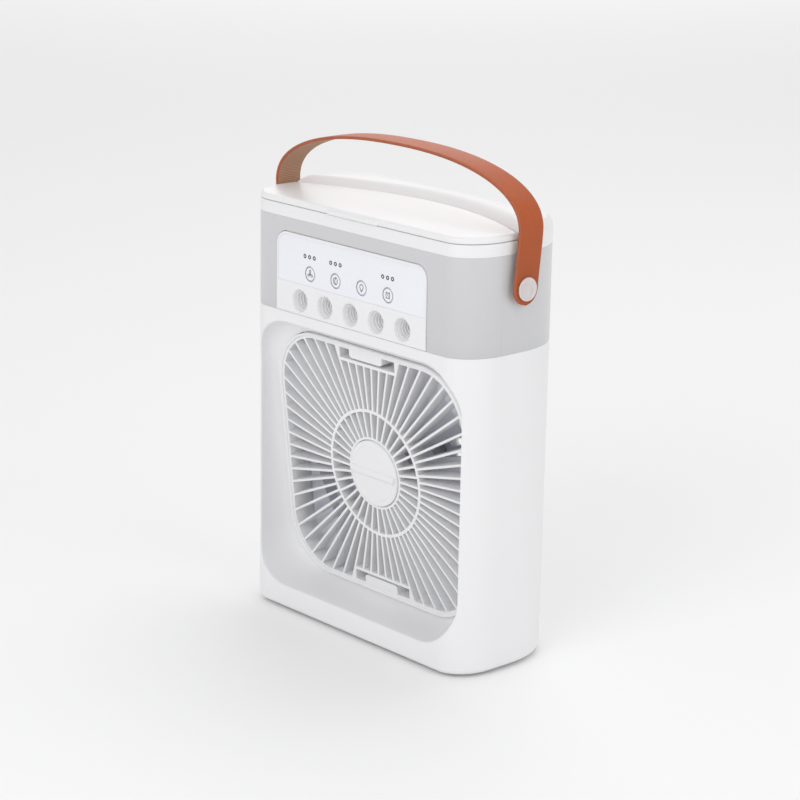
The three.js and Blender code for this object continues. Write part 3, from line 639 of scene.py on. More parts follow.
def recess_cutter(lip):
    """The dish in the front: a rolled lip, then walls sweeping in to the tilted grille seat."""
    def mouth(grow):
        return rounded_rect(0, RECESS_MID, RECESS_HALF[0] + grow, RECESS_HALF[1] + grow,
                            RECESS_CORNER + grow, 14)

    rings = [[Vector((x, -front_at(x) - 12, z)) for x, z in mouth(lip + 1.5)]]
    for k in range(5, -1, -1):
        a = math.pi / 2 * k / 5
        grow = lip * (1 - math.cos(a))
        deep = lip * (1 - math.sin(a))
        rings.append([Vector((x, -front_at(x) + deep, z)) for x, z in mouth(grow)])
    seat = rounded_rect(0, 0, GRILLE_HALF[0] + SEAT_GAP, GRILLE_HALF[1] + SEAT_GAP,
                        GRILLE_CORNER, 14)
    ends = [FAN_FRAME @ Vector((x, y, -1.0)) for x, y in seat]
    for k in range(1, 13):
        a = math.pi / 2 * k / 12
        across, deep = 1 - math.cos(a), math.sin(a)
        ring = []
        for (x, z), end in zip(mouth(0), ends):
            start = Vector((x, -front_at(x) + lip, z))
            ring.append(Vector((
                start.x + (end.x - start.x) * across,
                start.y + (end.y - start.y) * deep,
                start.z + (end.z - start.z) * across,
            )))
        rings.append(ring)
    return loft(rings)


def fan_prism(grow, low, high):
    outline = rounded_rect(0, 0, GRILLE_HALF[0] + grow, GRILLE_HALF[1] + grow,
                           GRILLE_CORNER + grow, 14)
    return prism(outline, low, high).moved(FAN_FRAME)


class COOLER_OT_housing(bpy.types.Operator):
    """Lower housing with the dished front recess"""
    bl_idname = "cooler.housing"
    bl_label = "Housing"

    def execute(self, context):
        white = moulded_plastic("housing white", colours().body, 0.4)
        levels = [(UNDERSIDE + painted_highlight_rise, inset) for painted_highlight_rise, inset in FOOT_ROLL]
        levels += [(SEAM_LOW - 0.35, 0.0), (SEAM_LOW - 0.1, 0.08), (SEAM_LOW, 0.25)]
        obj = raw_object("housing", stack(levels))
        back_low, back_high = span("rear_cover")
        back = rounded_rect(0, (back_low.z + back_high.z) / 2, back_high.x + MOULD_GAP,
                            (back_high.z - back_low.z) / 2 + MOULD_GAP, 10, 8)
        socket = middle("power_socket")
        port = rounded_rect(socket.x, socket.z, 5.2, 2.4, 1.4, 5)
        inside = stack([(UNDERSIDE + HOUSING_WALL, HOUSING_WALL),
                        (SEAM_LOW - HOUSING_WALL, HOUSING_WALL)])
        duct = carved(fan_prism(-2.2, -49.0, -GRILLE_DEEP + 1), ("INTERSECT", inside))
        cutters = [
            recess_cutter(sizes().recess_lip / MM),
            fan_prism(SEAT_GAP, -GRILLE_DEEP - 0.4, -0.4),
            duct,
            prism(back, -FRONT - 4, -FRONT + 2.4).moved(FACING),
            prism(rounded_rect(0, RECESS_MID, 53, 60, 10, 8), -FRONT + 2, -24).moved(FACING),
            prism(port, -FRONT - 4, -26).moved(FACING),
            stack([(SEAM_LOW - 5, 3.0), (SEAM_LOW + 3, 3.0)]),
        ]
        for foot in numbered("foot", 4):
            spot = middle(foot)
            cutters.append(turned([(6.4, -1), (6.4, UNDERSIDE + 0.9)], 32).at(spot.x, spot.y))
        carve(obj, *[("DIFFERENCE", c) for c in cutters])
        settle(obj, "body", white, ["lower_housing"], 30)
        return {"FINISHED"}


def panel_outline(inset, steps=10):
    """Upright panel shape with two rounded top corners, as seen from the front."""
    half, top, low, radius = PANEL_HALF - inset, PANEL_HIGH.z - inset, PANEL_LOW.z + inset, 7 - inset
    points = [(PANEL_X - half, low), (PANEL_X + half, low)]
    for sx, start in ((1, 0), (-1, 90)):
        for i in range(steps + 1):
            a = math.radians(start + 90 * i / steps)
            points.append((PANEL_X + sx * (half - radius) + radius * math.cos(a),
                           top - radius + radius * math.sin(a)))
    return points


class COOLER_OT_tank(bpy.types.Operator):
    """Grey water tank with its bay for the control panel, and the white rim above it"""
    bl_idname = "cooler.tank"
    bl_label = "Tank"

    def execute(self, context):
        obj = raw_object("tank", stack([
            (SEAM_LOW + 0.04, 0.2), (SEAM_LOW + 0.12, 0.06), (SEAM_LOW + 0.3, 0.0),
            (RIM_LOW - 0.02, 0.0)]))
        bay = PANEL_FACE - 0.8 - 13.8
        notch = prism(panel_outline(-0.3), bay, FRONT + 6).moved(FACING)
        walls = prism(panel_outline(-2.3), bay - 2, FRONT + 6).moved(FACING)
        hollow = carved(stack([(SEAM_HIGH + 2.2, 2.2), (TANK_TOP + 5, 2.2)]),
                        ("DIFFERENCE", walls))
        bores = [turned([(3.5, bay - 6), (3.5, bay + 3)], 24).moved(FACING).at(n.x, 0, n.z)
                 for n in NOZZLES]
        sides = [turned([(2.5, 76), (2.5, 90)], 24)
                 .moved(Matrix.Rotation(side * math.pi / 2, 4, "Y")).at(0, PIVOT_Y, PIVOT_Z)
                 for side in (-1, 1)]
        carve(obj, ("DIFFERENCE", notch), ("DIFFERENCE", hollow),
              *[("DIFFERENCE", b) for b in bores + sides])
        settle(obj, "body", tank_plastic(colours().tank), ["water_tank"], 30)

        white = moulded_plastic("rim white", colours().body, 0.36, seed=2.0)
        rim = raw_object("rim", stack([
            (RIM_LOW, 0.06), (RIM_TOP - 0.5, 0.06), (RIM_TOP - 0.1, 0.25), (RIM_TOP, 0.5)]))
        mouth = carved(stack([(RIM_LOW - 5, 5.5), (RIM_TOP + 5, 5.5)]),
                       ("INTERSECT", beyond_arc(-9, False, 0, 300)))
        bay = prism([(-36, HINGE.y - 3), (36, HINGE.y - 3), (36, HINGE.y + 9), (-36, HINGE.y + 9)],
                    HINGE.z - 2.7, RIM_TOP + 5)
        carve(rim, ("DIFFERENCE", mouth), ("INTERSECT", beyond_arc(-ARC_GAP, False, 0, 300)),
              ("DIFFERENCE", bay))
        settle(rim, "body", white, ["tank_rim"], 30)
        return {"FINISHED"}


def along_x(form):
    return form.moved(Matrix(((0, 0, 1), (1, 0, 0), (0, 1, 0))).to_4x4())


def hinge_rod(x, radius, half):
    """A length of the lid's hinge line, for a barrel or its bore."""
    rod = turned([(radius, x - half), (radius, x + half)], 28)
    return along_x(rod.at(HINGE.y, HINGE.z))


def hinge_ear(x):
    """The lug on the rear cap that carries a hinge pin."""
    points = []
    for i in range(13):
        a = math.radians(90 + 15 * i)
        points.append((HINGE.y + BARREL_RADIUS * math.cos(a), HINGE.z + BARREL_RADIUS * math.sin(a)))
    back = arc_at(x) + ARC_GAP + 2
    points += [(back, HINGE.z - BARREL_RADIUS), (back, HINGE.z - 0.5)]
    return along_x(prism(points, x - 1.6, x + 1.6))


class COOLER_OT_rear_cap(bpy.types.Operator):
    """Raised rear cap whose face sweeps up from the arc behind the lid"""
    bl_idname = "cooler.rear_cap"
    bl_label = "Rear cap"

    def execute(self, context):
        stations = []
        for i in range(61):
            x = -90 + 3 * i
            foot = arc_at(x) + ARC_GAP
            ring = [Vector((x, foot, RIM_LOW))]
            for k in range(25):
                t = k / 24
                ease = math.sin(t * math.pi / 2) ** 0.85
                z = LID_TOP - 1.2 + (RIDGE_TOP - LID_TOP + 1.2) * ease
                ring.append(Vector((x, foot + CAP_ROLL * t, z)))
            ring += [Vector((x, 60, RIDGE_TOP)), Vector((x, 60, RIM_LOW))]
            stations.append(ring)
        shell = stack([(RIM_LOW, 0.06), (RIM_LOW + 0.35, 0.0), (RIDGE_TOP - 5.2, 0.0)] + [
            (RIDGE_TOP - 5.2 + 5.4 * math.sin(math.radians(a)),
             4.6 * (1 - math.cos(math.radians(a)))) for a in range(10, 91, 10)])
        hollow = carved(stack([(RIM_LOW - 5, 3), (RIM_TOP, 3)]),
                        ("INTERSECT", beyond_arc(3, True, 0, 300)))
        steps = [("INTERSECT", shell), ("DIFFERENCE", hollow)]
        steps += [("UNION", hinge_ear(x)) for x in EAR_PLACES]
        steps += [("DIFFERENCE", hinge_rod(x, PIN_BORE, 9)) for x in (-BARREL_X, BARREL_X)]
        obj = carve(raw_object("rear_top", loft(stations)), *steps)
        white = moulded_plastic("rear cap white", colours().body, 0.38, seed=3.0)
        settle(obj, "body", white, ["rear_cap"], 34)
        return {"FINISHED"}


class COOLER_OT_lid(bpy.types.Operator):
    """Flat filling lid with its finger tab and hinge barrels"""
    bl_idname = "cooler.lid"
    bl_label = "Lid"

    def tab_outline(self, inset):
        return rounded_rect(0, -FRONT + 1.4, 18.5 - inset, 2.3 - inset, 1.2 - inset / 2, 6)

    def execute(self, context):
        levels = [(LID_LOW, 0.7), (LID_LOW + 0.2, 0.35), (LID_LOW + 0.6, 0.2)]
        levels += [(LID_TOP - LID_ROLL + LID_ROLL * math.sin(math.radians(a)),
                    0.2 + LID_ROLL * (1 - math.cos(math.radians(a)))) for a in range(0, 91, 15)]
        obj = raw_object("lid_top", stack(levels))
        rear = [(0, -ARC_GAP), (LID_TOP - LID_ROLL, -ARC_GAP)]
        rear += [(LID_TOP - LID_ROLL + LID_ROLL * math.sin(math.radians(a)),
                  -ARC_GAP - LID_ROLL * (1 - math.cos(math.radians(a)))) for a in range(15, 91, 15)]
        hollow = carved(stack([(LID_LOW - 3, 3.2), (LID_TOP - 1.6, 3.2)]),
                        ("INTERSECT", beyond_arc(-3.4, False, 0, 300)))
        bay = prism([(-35, HINGE.y - 4), (35, HINGE.y - 4), (35, HINGE.y + 8), (-35, HINGE.y + 8)],
                    200, LID_TOP - 1.6)
        tab = rounded_prism(self.tab_outline, LID_LOW + 0.2, LID_LOW + 2.2, 0.6)
        steps = [("INTERSECT", arc_loft(rear)), ("DIFFERENCE", hollow), ("DIFFERENCE", bay),
                 ("UNION", tab)]
        for x in (-BARREL_X, BARREL_X):
            near, far = HINGE.y - BARREL_RADIUS, HINGE.y + 1.6
            arm = prism([(x - 5, near), (x + 5, near), (x + 5, far), (x - 5, far)],
                        HINGE.z, LID_TOP - 1.2)
            steps += [("UNION", hinge_rod(x, BARREL_RADIUS, 5)), ("UNION", arm),
                      ("DIFFERENCE", hinge_rod(x, PIN_BORE, 12))]
        carve(obj, *steps)
        white = moulded_plastic("lid white", colours().body, 0.33, seed=1.0)
        settle(obj, "lid", white, ["lid"], 34)
        return {"FINISHED"}


def reach_at(angle, inner):
    """Distance from the hub to the inside of the frame band along this direction."""
    way = Vector((math.cos(angle), math.sin(angle)))
    reach = 0.0
    for i, p in enumerate(inner):
        q = inner[(i + 1) % len(inner)]
        p, edge = Vector(p), Vector(q) - Vector(p)
        cross = way.cross(edge)
        if abs(cross) < 1e-9:
            continue
        along, part = p.cross(edge) / cross, p.cross(way) / cross
        if along > 0 and -1e-6 <= part <= 1 + 1e-6:
            reach = max(reach, along)
    return reach


def spoke_window(low, high, near, far, half, steps):
    """Opening between two spokes, from the ring `near` out to the line far(angle)."""
    def edge(radius):
        return math.asin(half / radius)

    def polar(radius, a):
        return radius * math.cos(a), radius * math.sin(a)

    n0, n1 = low + edge(near), high - edge(near)
    f0, f1 = low + edge(far(low)), high - edge(far(high))
    points = [polar(near, n0 + (n1 - n0) * k / 2) for k in range(3)]
    outer = [f1 + (f0 - f1) * k / steps for k in range(steps + 1)]
    return points + [polar(far(a), a) for a in outer]


class COOLER_OT_grille(bpy.types.Operator):
    """Tilted radial grille, its hub cap and two snap latches"""
    bl_idname = "cooler.grille"
    bl_label = "Front grille"

    def outline(self, inset):
        return rounded_rect(0, 0, GRILLE_HALF[0] - inset, GRILLE_HALF[1] - inset,
                            GRILLE_CORNER - inset, 18)

    def ridge_outline(self, inset):
        return rounded_rect(0, 0, 16.2 - inset * 0.6, 2.2 - inset, 1.3 - inset * 0.4, 8)

    def windows(self):
        half = sizes().spoke / MM / 2
        step = 2 * math.pi / INNER_SPOKES
        for k in range(INNER_SPOKES):
            yield spoke_window(k * step, (k + 1) * step, HUB_RADIUS, lambda a: MID_RING[0], half, 3)
        inner = rounded_rect(0, 0, GRILLE_HALF[0] - GRILLE_BAND, GRILLE_HALF[1] - GRILLE_BAND,
                             GRILLE_CORNER - GRILLE_BAND, 24)
        step = 2 * math.pi / OUTER_SPOKES
        for k in range(OUTER_SPOKES):
            barred = abs(math.cos((k + 0.5) * step)) < math.sin(3.5 * step)
            far = ((lambda a: (LATCH_LINE - 0.8) / abs(math.sin(a))) if barred
                   else (lambda a: reach_at(a, inner)))
            yield spoke_window(k * step, (k + 1) * step, MID_RING[1], far, half, 5)

    def latch_slot(self, side):
        low, high = LATCH_LINE + 0.8, GRILLE_HALF[1] - GRILLE_BAND
        points = [(-20.4, low), (20.4, low), (20.4, high), (11.2, high), (11.2, low + 2.6),
                  (10.7, low + 1.6), (9.4, low + 1.1), (-11.4, low + 1.1), (-12.7, low + 1.6),
                  (-13.2, low + 2.6), (-13.2, high), (-20.4, high)]
        return [(x, y * side) for x, y in points]

    def execute(self, context):
        white = moulded_plastic("grille white", colours().body, 0.38, seed=4.0)
        obj = raw_object("grille", prism(self.outline(0), -GRILLE_DEEP, 0))
        cuts = Form()
        for shape in list(self.windows()) + [self.latch_slot(1), self.latch_slot(-1)]:
            cuts = cuts + prism(shape, -GRILLE_DEEP - 1, 4)
        bead = loft([[Vector((x, y, z)) for x, y in self.outline(inset)] for inset, z in (
            (0.0, -1.0), (0.0, 0.7), (0.3, 1.0), (1.0, 1.0), (1.4, 0.6), (1.4, -1.0))], True)
        seat = turned([(HUB_RADIUS - 1.2, -1.6), (HUB_RADIUS - 1.2, 3)], 72)
        carve(obj, ("DIFFERENCE", cuts), ("UNION", bead), ("DIFFERENCE", seat))
        tilt_to_fan(obj)
        settle(obj, "body", white, ["front_grille"], 30)
        soften(obj, 0.22)

        disc = [(17.4, -1.3), (17.4, 0.45), (17.25, 0.75), (16.9, 0.95), (16.2, 1.05)]
        groove = [(15.0, 1.05), (14.8, 0.85), (14.4, 0.85), (14.2, 1.05), (0.4, 1.15)]
        cap = raw_object("hub_cap", turned(disc + groove, 72))
        ridge = loft([[Vector((x, y, z)) for x, y in self.ridge_outline(i)] for i, z in (
            (0.0, 0.4), (0.0, 1.1), (0.35, 1.7), (0.8, 2.15), (1.3, 2.35))])
        carve(cap, ("UNION", ridge))
        tilt_to_fan(cap)
        settle(cap, "body", white, ["grille_hub_cap"], 40)
        return {"FINISHED"}


class COOLER_OT_impeller(bpy.types.Operator):
    """Swept impeller blades on their hub"""
    bl_idname = "cooler.impeller"
    bl_label = "Impeller"

    STATIONS = ((16, 17, 38), (27, 24, 31), (38, 31, 25), (49, 36, 20), (59, 38, 17))
    LEVEL = -19.8

    def blade(self, turn):
        """One blade, lofted through its (radius, chord, pitch) stations."""
        stations = self.STATIONS
        rings = []
        for step in range(17):
            t = step / 4
            i = min(int(t), 3)
            f = t - i
            radius, chord, pitch = (a + (b - a) * f for a, b in zip(stations[i], stations[i + 1]))
            a = math.radians(pitch)
            line = []
            for side in (-1, 1):
                row = []
                for k in range(9):
                    s = -1 + 2 * k / 8
                    thick = 0.35 + 0.5 * math.sqrt(max(1 - s * s, 0.0))
                    row.append((s * chord / 2, 1.4 * (1 - s * s) - 0.2 + side * thick))
                line += row if side < 0 else list(reversed(row))
            rings.append([Vector((radius, u * math.cos(a) - v * math.sin(a),
                                  self.LEVEL + u * math.sin(a) + v * math.cos(a))) for u, v in line])
        return loft(rings).moved(Matrix.Rotation(turn, 4, "Z"))

    def execute(self, context):
        hub = turned([(1.8, -13.2), (11.5, -13.2), (14.6, -13.6), (16.5, -14.7), (17.2, -16.2),
                      (17.2, -26), (15, -26), (15, -17.4), (4.6, -17.4), (4.6, -25),
                      (1.8, -25)], 64, True)
        count = sizes().blades
        steps = [("UNION", self.blade(2 * math.pi * i / count)) for i in range(count)]
        obj = carve(raw_object("fan_wheel", hub), *steps)
        tilt_to_fan(obj)
        plastic = moulded_plastic("fan plastic", colours().fan, 0.36, grain=0.08)
        settle(obj, "fan", plastic, ["impeller"], 34)
        return {"FINISHED"}


class COOLER_OT_control_panel(bpy.types.Operator):
    """White control panel with its film, nozzle holes and light pips"""
    bl_idname = "cooler.control_panel"
    bl_label = "Control panel"

    def film_outline(self, inset):
        x = (FILM_LOW.x + FILM_HIGH.x) / 2
        z = (FILM_LOW.z + FILM_HIGH.z) / 2
        half = (FILM_HIGH.x - FILM_LOW.x) / 2 - inset
        upper = rounded_rect(x, z, half, (FILM_HIGH.z - FILM_LOW.z) / 2 - inset, 5.45 - inset, 10)
        low = FILM_LOW.z + inset
        corners = rounded_rect(x, low + 8, half, 8, 0.8, 10)
        return [c if c[1] < z else u for u, c in zip(upper, corners)]

    def execute(self, context):
        white = moulded_plastic("panel white", colours().body, 0.36, seed=5.0)
        deep = -PANEL_HIGH.y
        body = rounded_prism(panel_outline, deep, PANEL_FACE, 0.7).moved(FACING)
        obj = raw_object("panel", body)
        inner = prism(panel_outline(1.8), deep - 5, PANEL_FACE - 2.4).moved(FACING)
        film_bed = prism(self.film_outline(-0.02), PANEL_FACE - 0.7, PANEL_FACE + 5).moved(FACING)
        steps = [("DIFFERENCE", inner), ("DIFFERENCE", film_bed)]
        holes = [(n, 5.95, 48) for n in NOZZLES] + [(b, BUTTON_RADIUS + 0.22, 48) for b in BUTTONS]
        holes += [(Vector((g.x + k * PIP_PITCH, 0, g.z)), 1.1, 20) for g in GUIDES for k in (-1, 0, 1)]
        cuts = Form()
        film_cuts = Form()
        for spot, radius, segments in holes:
            drill = turned([(radius, 28), (radius, 45)], segments).moved(FACING)
            cuts = cuts + drill.at(spot.x, 0, spot.z)
            if radius < 5:
                film_cuts = film_cuts + drill.at(spot.x, 0, spot.z)
        carve(obj, *steps, ("DIFFERENCE", cuts))
        settle(obj, "body", white, ["control_panel"], 30)

        film = raw_object("film", rounded_prism(self.film_outline, PANEL_FACE - 0.5,
                                                PANEL_FACE, 0.18, 2).moved(FACING))
        carve(film, ("DIFFERENCE", film_cuts))
        settle(film, "body", glossy_film(colours().film), ["panel_film"], 30)

        milky = glossy_film((0.78, 0.78, 0.76))
        ink = speckled("indicator rings", tone(colours().print_ink, 0.6), colours().print_ink,
                       0.45, 1500, 0.1)
        for i, spot in enumerate(GUIDES, 1):
            guide = rounded_prism(
                lambda inset: rounded_rect(spot.x, spot.z, 5.6 - inset, 1.7 - inset, 0.8, 4),
                FRONT - 3.6, FRONT - 1.9, 0.3, 2)
            rings = Form()
            for k in (-1, 0, 1):
                pip = turned([(1.02, FRONT - 2.4), (1.02, PANEL_FACE - 0.1), (0.6, PANEL_FACE),
                              (0.3, PANEL_FACE + 0.06)], 20)
                guide = guide + pip.at(spot.x + k * PIP_PITCH, spot.z)
                ring = turned([(0.5, PANEL_FACE - 0.15), (1.08, PANEL_FACE - 0.15),
                               (1.08, PANEL_FACE + 0.05), (0.5, PANEL_FACE + 0.05)], 24, True)
                rings = rings + ring.at(spot.x + k * PIP_PITCH, spot.z)
            piece = raw_object(f"light_pips_{i}", guide.moved(FACING))
            settle(piece, "body", milky, [f"light_guide_{i}"], 40)
            marks = raw_object(f"light_rings_{i}", rings.moved(FACING))
            settle(marks, "body", ink, (), 40)
        return {"FINISHED"}


class COOLER_OT_nozzles(bpy.types.Operator):
    """Stepped mist nozzles with their discs and wicks"""
    bl_idname = "cooler.nozzles"
    bl_label = "Mist nozzles"

    def execute(self, context):
        white = moulded_plastic("nozzle white", colours().body, 0.34, seed=6.0)
        face = FRONT + 1.0
        profile = [(5.9, face - 0.19), (6.15, face - 0.19), (6.15, face - 0.1), (6.0, face),
                   (5.85, face - 0.03), (5.45, face - 0.7), (5.2, face - 1.6), (5.15, face - 2.2),
                   (5.0, face - 2.3), (4.85, face - 2.05), (4.65, face - 2.0), (4.5, face - 2.25),
                   (4.45, face - 4.0), (4.1, face - 4.15), (4.05, face - 5.4), (3.7, face - 5.55),
                   (3.65, face - 6.8), (3.2, face - 6.95), (3.2, face - 9.0), (5.6, face - 9.0),
                   (5.75, face - 0.9)]
        for i, spot in enumerate(NOZZLES, 1):
            bore = turned(profile, 56, True).moved(FACING)
            obj = raw_object(f"nozzle_{i}", bore.at(spot.x, 0, spot.z))
            settle(obj, "body", white, [f"mist_nozzle_{i}"], 40)
        disc = brushed_metal("mist disc metal", (0.55, 0.5, 0.42), 0.34)
        dress(numbered("mist_disc", len(NOZZLES)), disc, 0.2)
        cotton = speckled("wick cotton", (0.7, 0.68, 0.62), (0.88, 0.87, 0.82), 0.9, 900, 0.6)
        dress(numbered("wick", len(NOZZLES)), cotton, 0.3)
        return {"FINISHED"}


class COOLER_OT_keys(bpy.types.Operator):
    """Four round keys, each with a printed ring and pictogram"""
    bl_idname = "cooler.keys"
    bl_label = "Keys"

    def ribbon(self, points, closed=False, weight=1.0):
        """A flat printed line through the points, as a closed thin solid."""
        half = sizes().line / MM / 2 * weight
        pts = [Vector(p) for p in points]
        rows = []
        for i, p in enumerate(pts):
            before = pts[i - 1] if closed or i else p
            after = pts[(i + 1) % len(pts)] if closed or i < len(pts) - 1 else p
            way = (after - before).normalized()
            side = Vector((-way.y, way.x)) * half
            rows.append([Vector((*(p + side), 0.0)), Vector((*(p - side), 0.0)),
                         Vector((*(p - side), 0.05)), Vector((*(p + side), 0.05))])
        return loft(rows, closed)

    def ring(self, x, y, radius, start=0, end=360, steps=40, weight=1.0):
        full = abs(end - start) >= 360
        count = steps if full else steps + 1
        angles = [math.radians(start + (end - start) * i / steps) for i in range(count)]
        points = [(x + radius * math.cos(a), y + radius * math.sin(a)) for a in angles]
        return self.ribbon(points, full, weight)

    def fan_sign(self):
        sign = self.ring(0, 0, 0.42, steps=20)
        for k in range(3):
            turn = math.radians(90 + 120 * k)
            petal = []
            for i in range(25):
                a = 2 * math.pi * i / 24
                u, v = 1.25 + 0.72 * math.cos(a), 0.5 * math.sin(a) * (1 + 0.35 * math.cos(a))
                petal.append((u * math.cos(turn) - v * math.sin(turn),
                              u * math.sin(turn) + v * math.cos(turn)))
            sign = sign + self.ribbon(petal[:-1], True)
        return sign

    def moon_sign(self):
        sign = self.ring(0.1, 0, 1.7, 60, 300) + self.ring(0.95, 0, 1.5, 100, 260, 24)
        for y in (0.75, 0.0, -0.75):
            sign = sign + self.ring(1.25, y, 0.16, steps=10)
        return sign

    def bulb_sign(self):
        return (self.ring(0, 0.45, 1.25, -55, 235)
                + self.ribbon([(-0.7, -0.65), (-0.55, -1.15)])
                + self.ribbon([(0.7, -0.65), (0.55, -1.15)])
                + self.ribbon([(-0.6, -1.25), (0.6, -1.25)])
                + self.ribbon([(-0.45, -1.75), (0.45, -1.75)]))

    def clock_sign(self):
        sign = self.ring(0, -0.15, 1.35) + self.ribbon([(0, 0.7), (0, -0.15), (0.6, -0.5)])
        for side in (-1, 1):
            sign = sign + self.ribbon([(side * 1.55, 1.0), (side * 0.95, 1.55)])
            sign = sign + self.ribbon([(side * 1.05, -1.25), (side * 1.4, -1.7)])
        return sign

    def execute(self, context):
        key_film = glossy_film(colours().film)
        ink = speckled("key print", tone(colours().print_ink, 0.8), tone(colours().print_ink, 1.3),
                       0.45, 1500, 0.1)
        signs = (self.fan_sign, self.moon_sign, self.bulb_sign, self.clock_sign)
        face = PANEL_FACE
        for i, (spot, sign) in enumerate(zip(BUTTONS, signs), 1):
            key = turned([(1.2, FRONT - 4.1), (1.2, FRONT - 3.2), (4.7, FRONT - 3.2),
                          (4.7, FRONT - 2.1), (BUTTON_RADIUS, FRONT - 2.1),
                          (BUTTON_RADIUS, face - 0.22), (BUTTON_RADIUS - 0.08, face - 0.06),
                          (BUTTON_RADIUS - 0.25, face)], 48)
            obj = raw_object(f"key_{i}", key.moved(FACING).at(spot.x, 0, spot.z))
            settle(obj, f"button_{i}", key_film, [f"button_{i}"], 40)
            drawn = (self.ring(0, 0, 3.4, weight=0.65) + sign()).moved(Matrix.Translation((0, 0, face)))
            mark = raw_object(f"key_print_{i}", drawn.moved(FACING).at(spot.x, 0, spot.z))
            settle(mark, f"button_{i}", ink, (), 40)
        return {"FINISHED"}


def strap_path(steps=64):
    """Middle line of the strap from its right end over the arch to its left, as (x, z)."""
    end = PIVOT_Z - STRAP_WIDE / 2
    right = []
    for k in range(13):
        right.append((STRAP_HALF_X, end + STRAP_WIDE / 2 * (1 - math.cos(math.pi / 2 * k / 12))))
    for k in range(1, 9):
        right.append((STRAP_HALF_X, PIVOT_Z + (STRAP_BEND - PIVOT_Z) * k / 9))
    for i in range(steps + 1):
        a = math.pi / 2 * i / steps
        right.append((STRAP_HALF_X * max(math.cos(a), 0.0) ** (2 / STRAP_POWER),
                      STRAP_BEND + STRAP_RISE * math.sin(a) ** (2 / STRAP_POWER)))
    return right + [(-x, z) for x, z in reversed(right[:-1])]


class COOLER_OT_strap(bpy.types.Operator):
    """Leather strap handle in three finishes, and its two rivets"""
    bl_idname = "cooler.strap"
    bl_label = "Strap"

    def section(self, half):
        """Across the strap: rounded edges, a crowned outer face and a flat lining."""
        t = STRAP_THICK / 2
        points = []
        r = min(0.75, half * 0.6)
        for k in range(9):
            s = -1 + 2 * k / 8
            points.append(((half - r) * s, t * (0.86 + 0.14 * (1 - s * s)), "face"))
        for k in range(1, 6):
            a = math.radians(90 - 180 * k / 6)
            points.append((half - r + r * math.cos(a), t * 0.86 * math.sin(a), "edge"))
        for k in range(9):
            s = 1 - 2 * k / 8
            points.append(((half - r) * s, -t * 0.9, "lining"))
        for k in range(1, 6):
            a = math.radians(270 - 180 * k / 6)
            points.append((-half + r + r * math.cos(a), t * 0.86 * math.sin(a), "edge"))
        return points

    def execute(self, context):
        path = strap_path()
        end = PIVOT_Z - STRAP_WIDE / 2
        rings, along = [], [0.0]
        for i, (x, z) in enumerate(path):
            ax, az = path[max(i - 1, 0)]
            bx, bz = path[min(i + 1, len(path) - 1)]
            way = Vector((bx - ax, bz - az)).normalized()
            if i:
                along.append(along[-1] + (Vector((x, z)) - Vector(path[i - 1])).length)
            t = min(max((z - PIVOT_Z + 4) / 34, 0.0), 1.0)
            lift = t * t * (3 - 2 * t)
            y = PIVOT_Y + STRAP_LEAN * x / STRAP_HALF_X * lift
            inset = min((z - end) / (STRAP_WIDE / 2), 1.0)
            half = max(STRAP_WIDE / 2 * math.sqrt(max(1 - (1 - inset) ** 2, 0.0)), 0.9)
            rings.append([Vector((x + way.y * h, y + w, z - way.x * h))
                          for w, h, _ in self.section(half)])
        obj = raw_object("strap_band", loft(rings))
        kinds = [k for _, _, k in self.section(8.5)]
        count = len(kinds)
        uv = obj.data.uv_layers.new(name="UVMap")
        for polygon in obj.data.polygons:
            corners = [v % count for v in polygon.vertices]
            if len(corners) > 4:
                polygon.material_index = STRAP_KINDS.index("edge")
                continue
            touched = {kinds[c] for c in corners}
            kind = touched.pop() if len(touched) == 1 else "edge"
            polygon.material_index = STRAP_KINDS.index(kind)
            for loop in polygon.loop_indices:
                vertex = obj.data.loops[loop].vertex_index
                uv.data[loop].uv = (along[vertex // count], rings[vertex // count][vertex % count].y)
        colour = colours()
        finishes = [strap_leather(colour.leather, sizes().wear), strap_edge(tone(colour.leather, 0.75)),
                    strap_lining(colour.lining)]
        settle(obj, "strap", finishes, ["strap"], 60)

        cap = pearl(colour.rivet)
        outer = STRAP_HALF_X + STRAP_THICK / 2 + 0.15
        inner = HALF_X - 2.5
        for i, side in enumerate((-1, 1), 1):
            profile = [(3.6, inner - 1.2), (3.6, inner), (2.2, inner), (2.2, HALF_X + 0.3),
                       (3.8, HALF_X + 0.3), (3.8, HALF_X + 1.3), (2.2, HALF_X + 1.3), (2.2, outer),
                       (5.5, outer), (5.75, outer + 0.2), (5.78, outer + 0.6), (5.6, outer + 1.0),
                       (5.25, outer + 1.2), (4.85, outer + 1.18), (4.5, outer + 0.98),
                       (4.1, outer + 0.8), (3.4, outer + 0.76), (2.2, outer + 0.84),
                       (1.1, outer + 0.93)]
            turn = Matrix.Rotation(side * math.pi / 2, 4, "Y")
            rivet = raw_object(f"rivet_{i}", turned(profile, 56).moved(turn).at(0, PIVOT_Y, PIVOT_Z))
            settle(rivet, "body", cap, [f"strap_rivet_{i}"], 50)
        return {"FINISHED"}


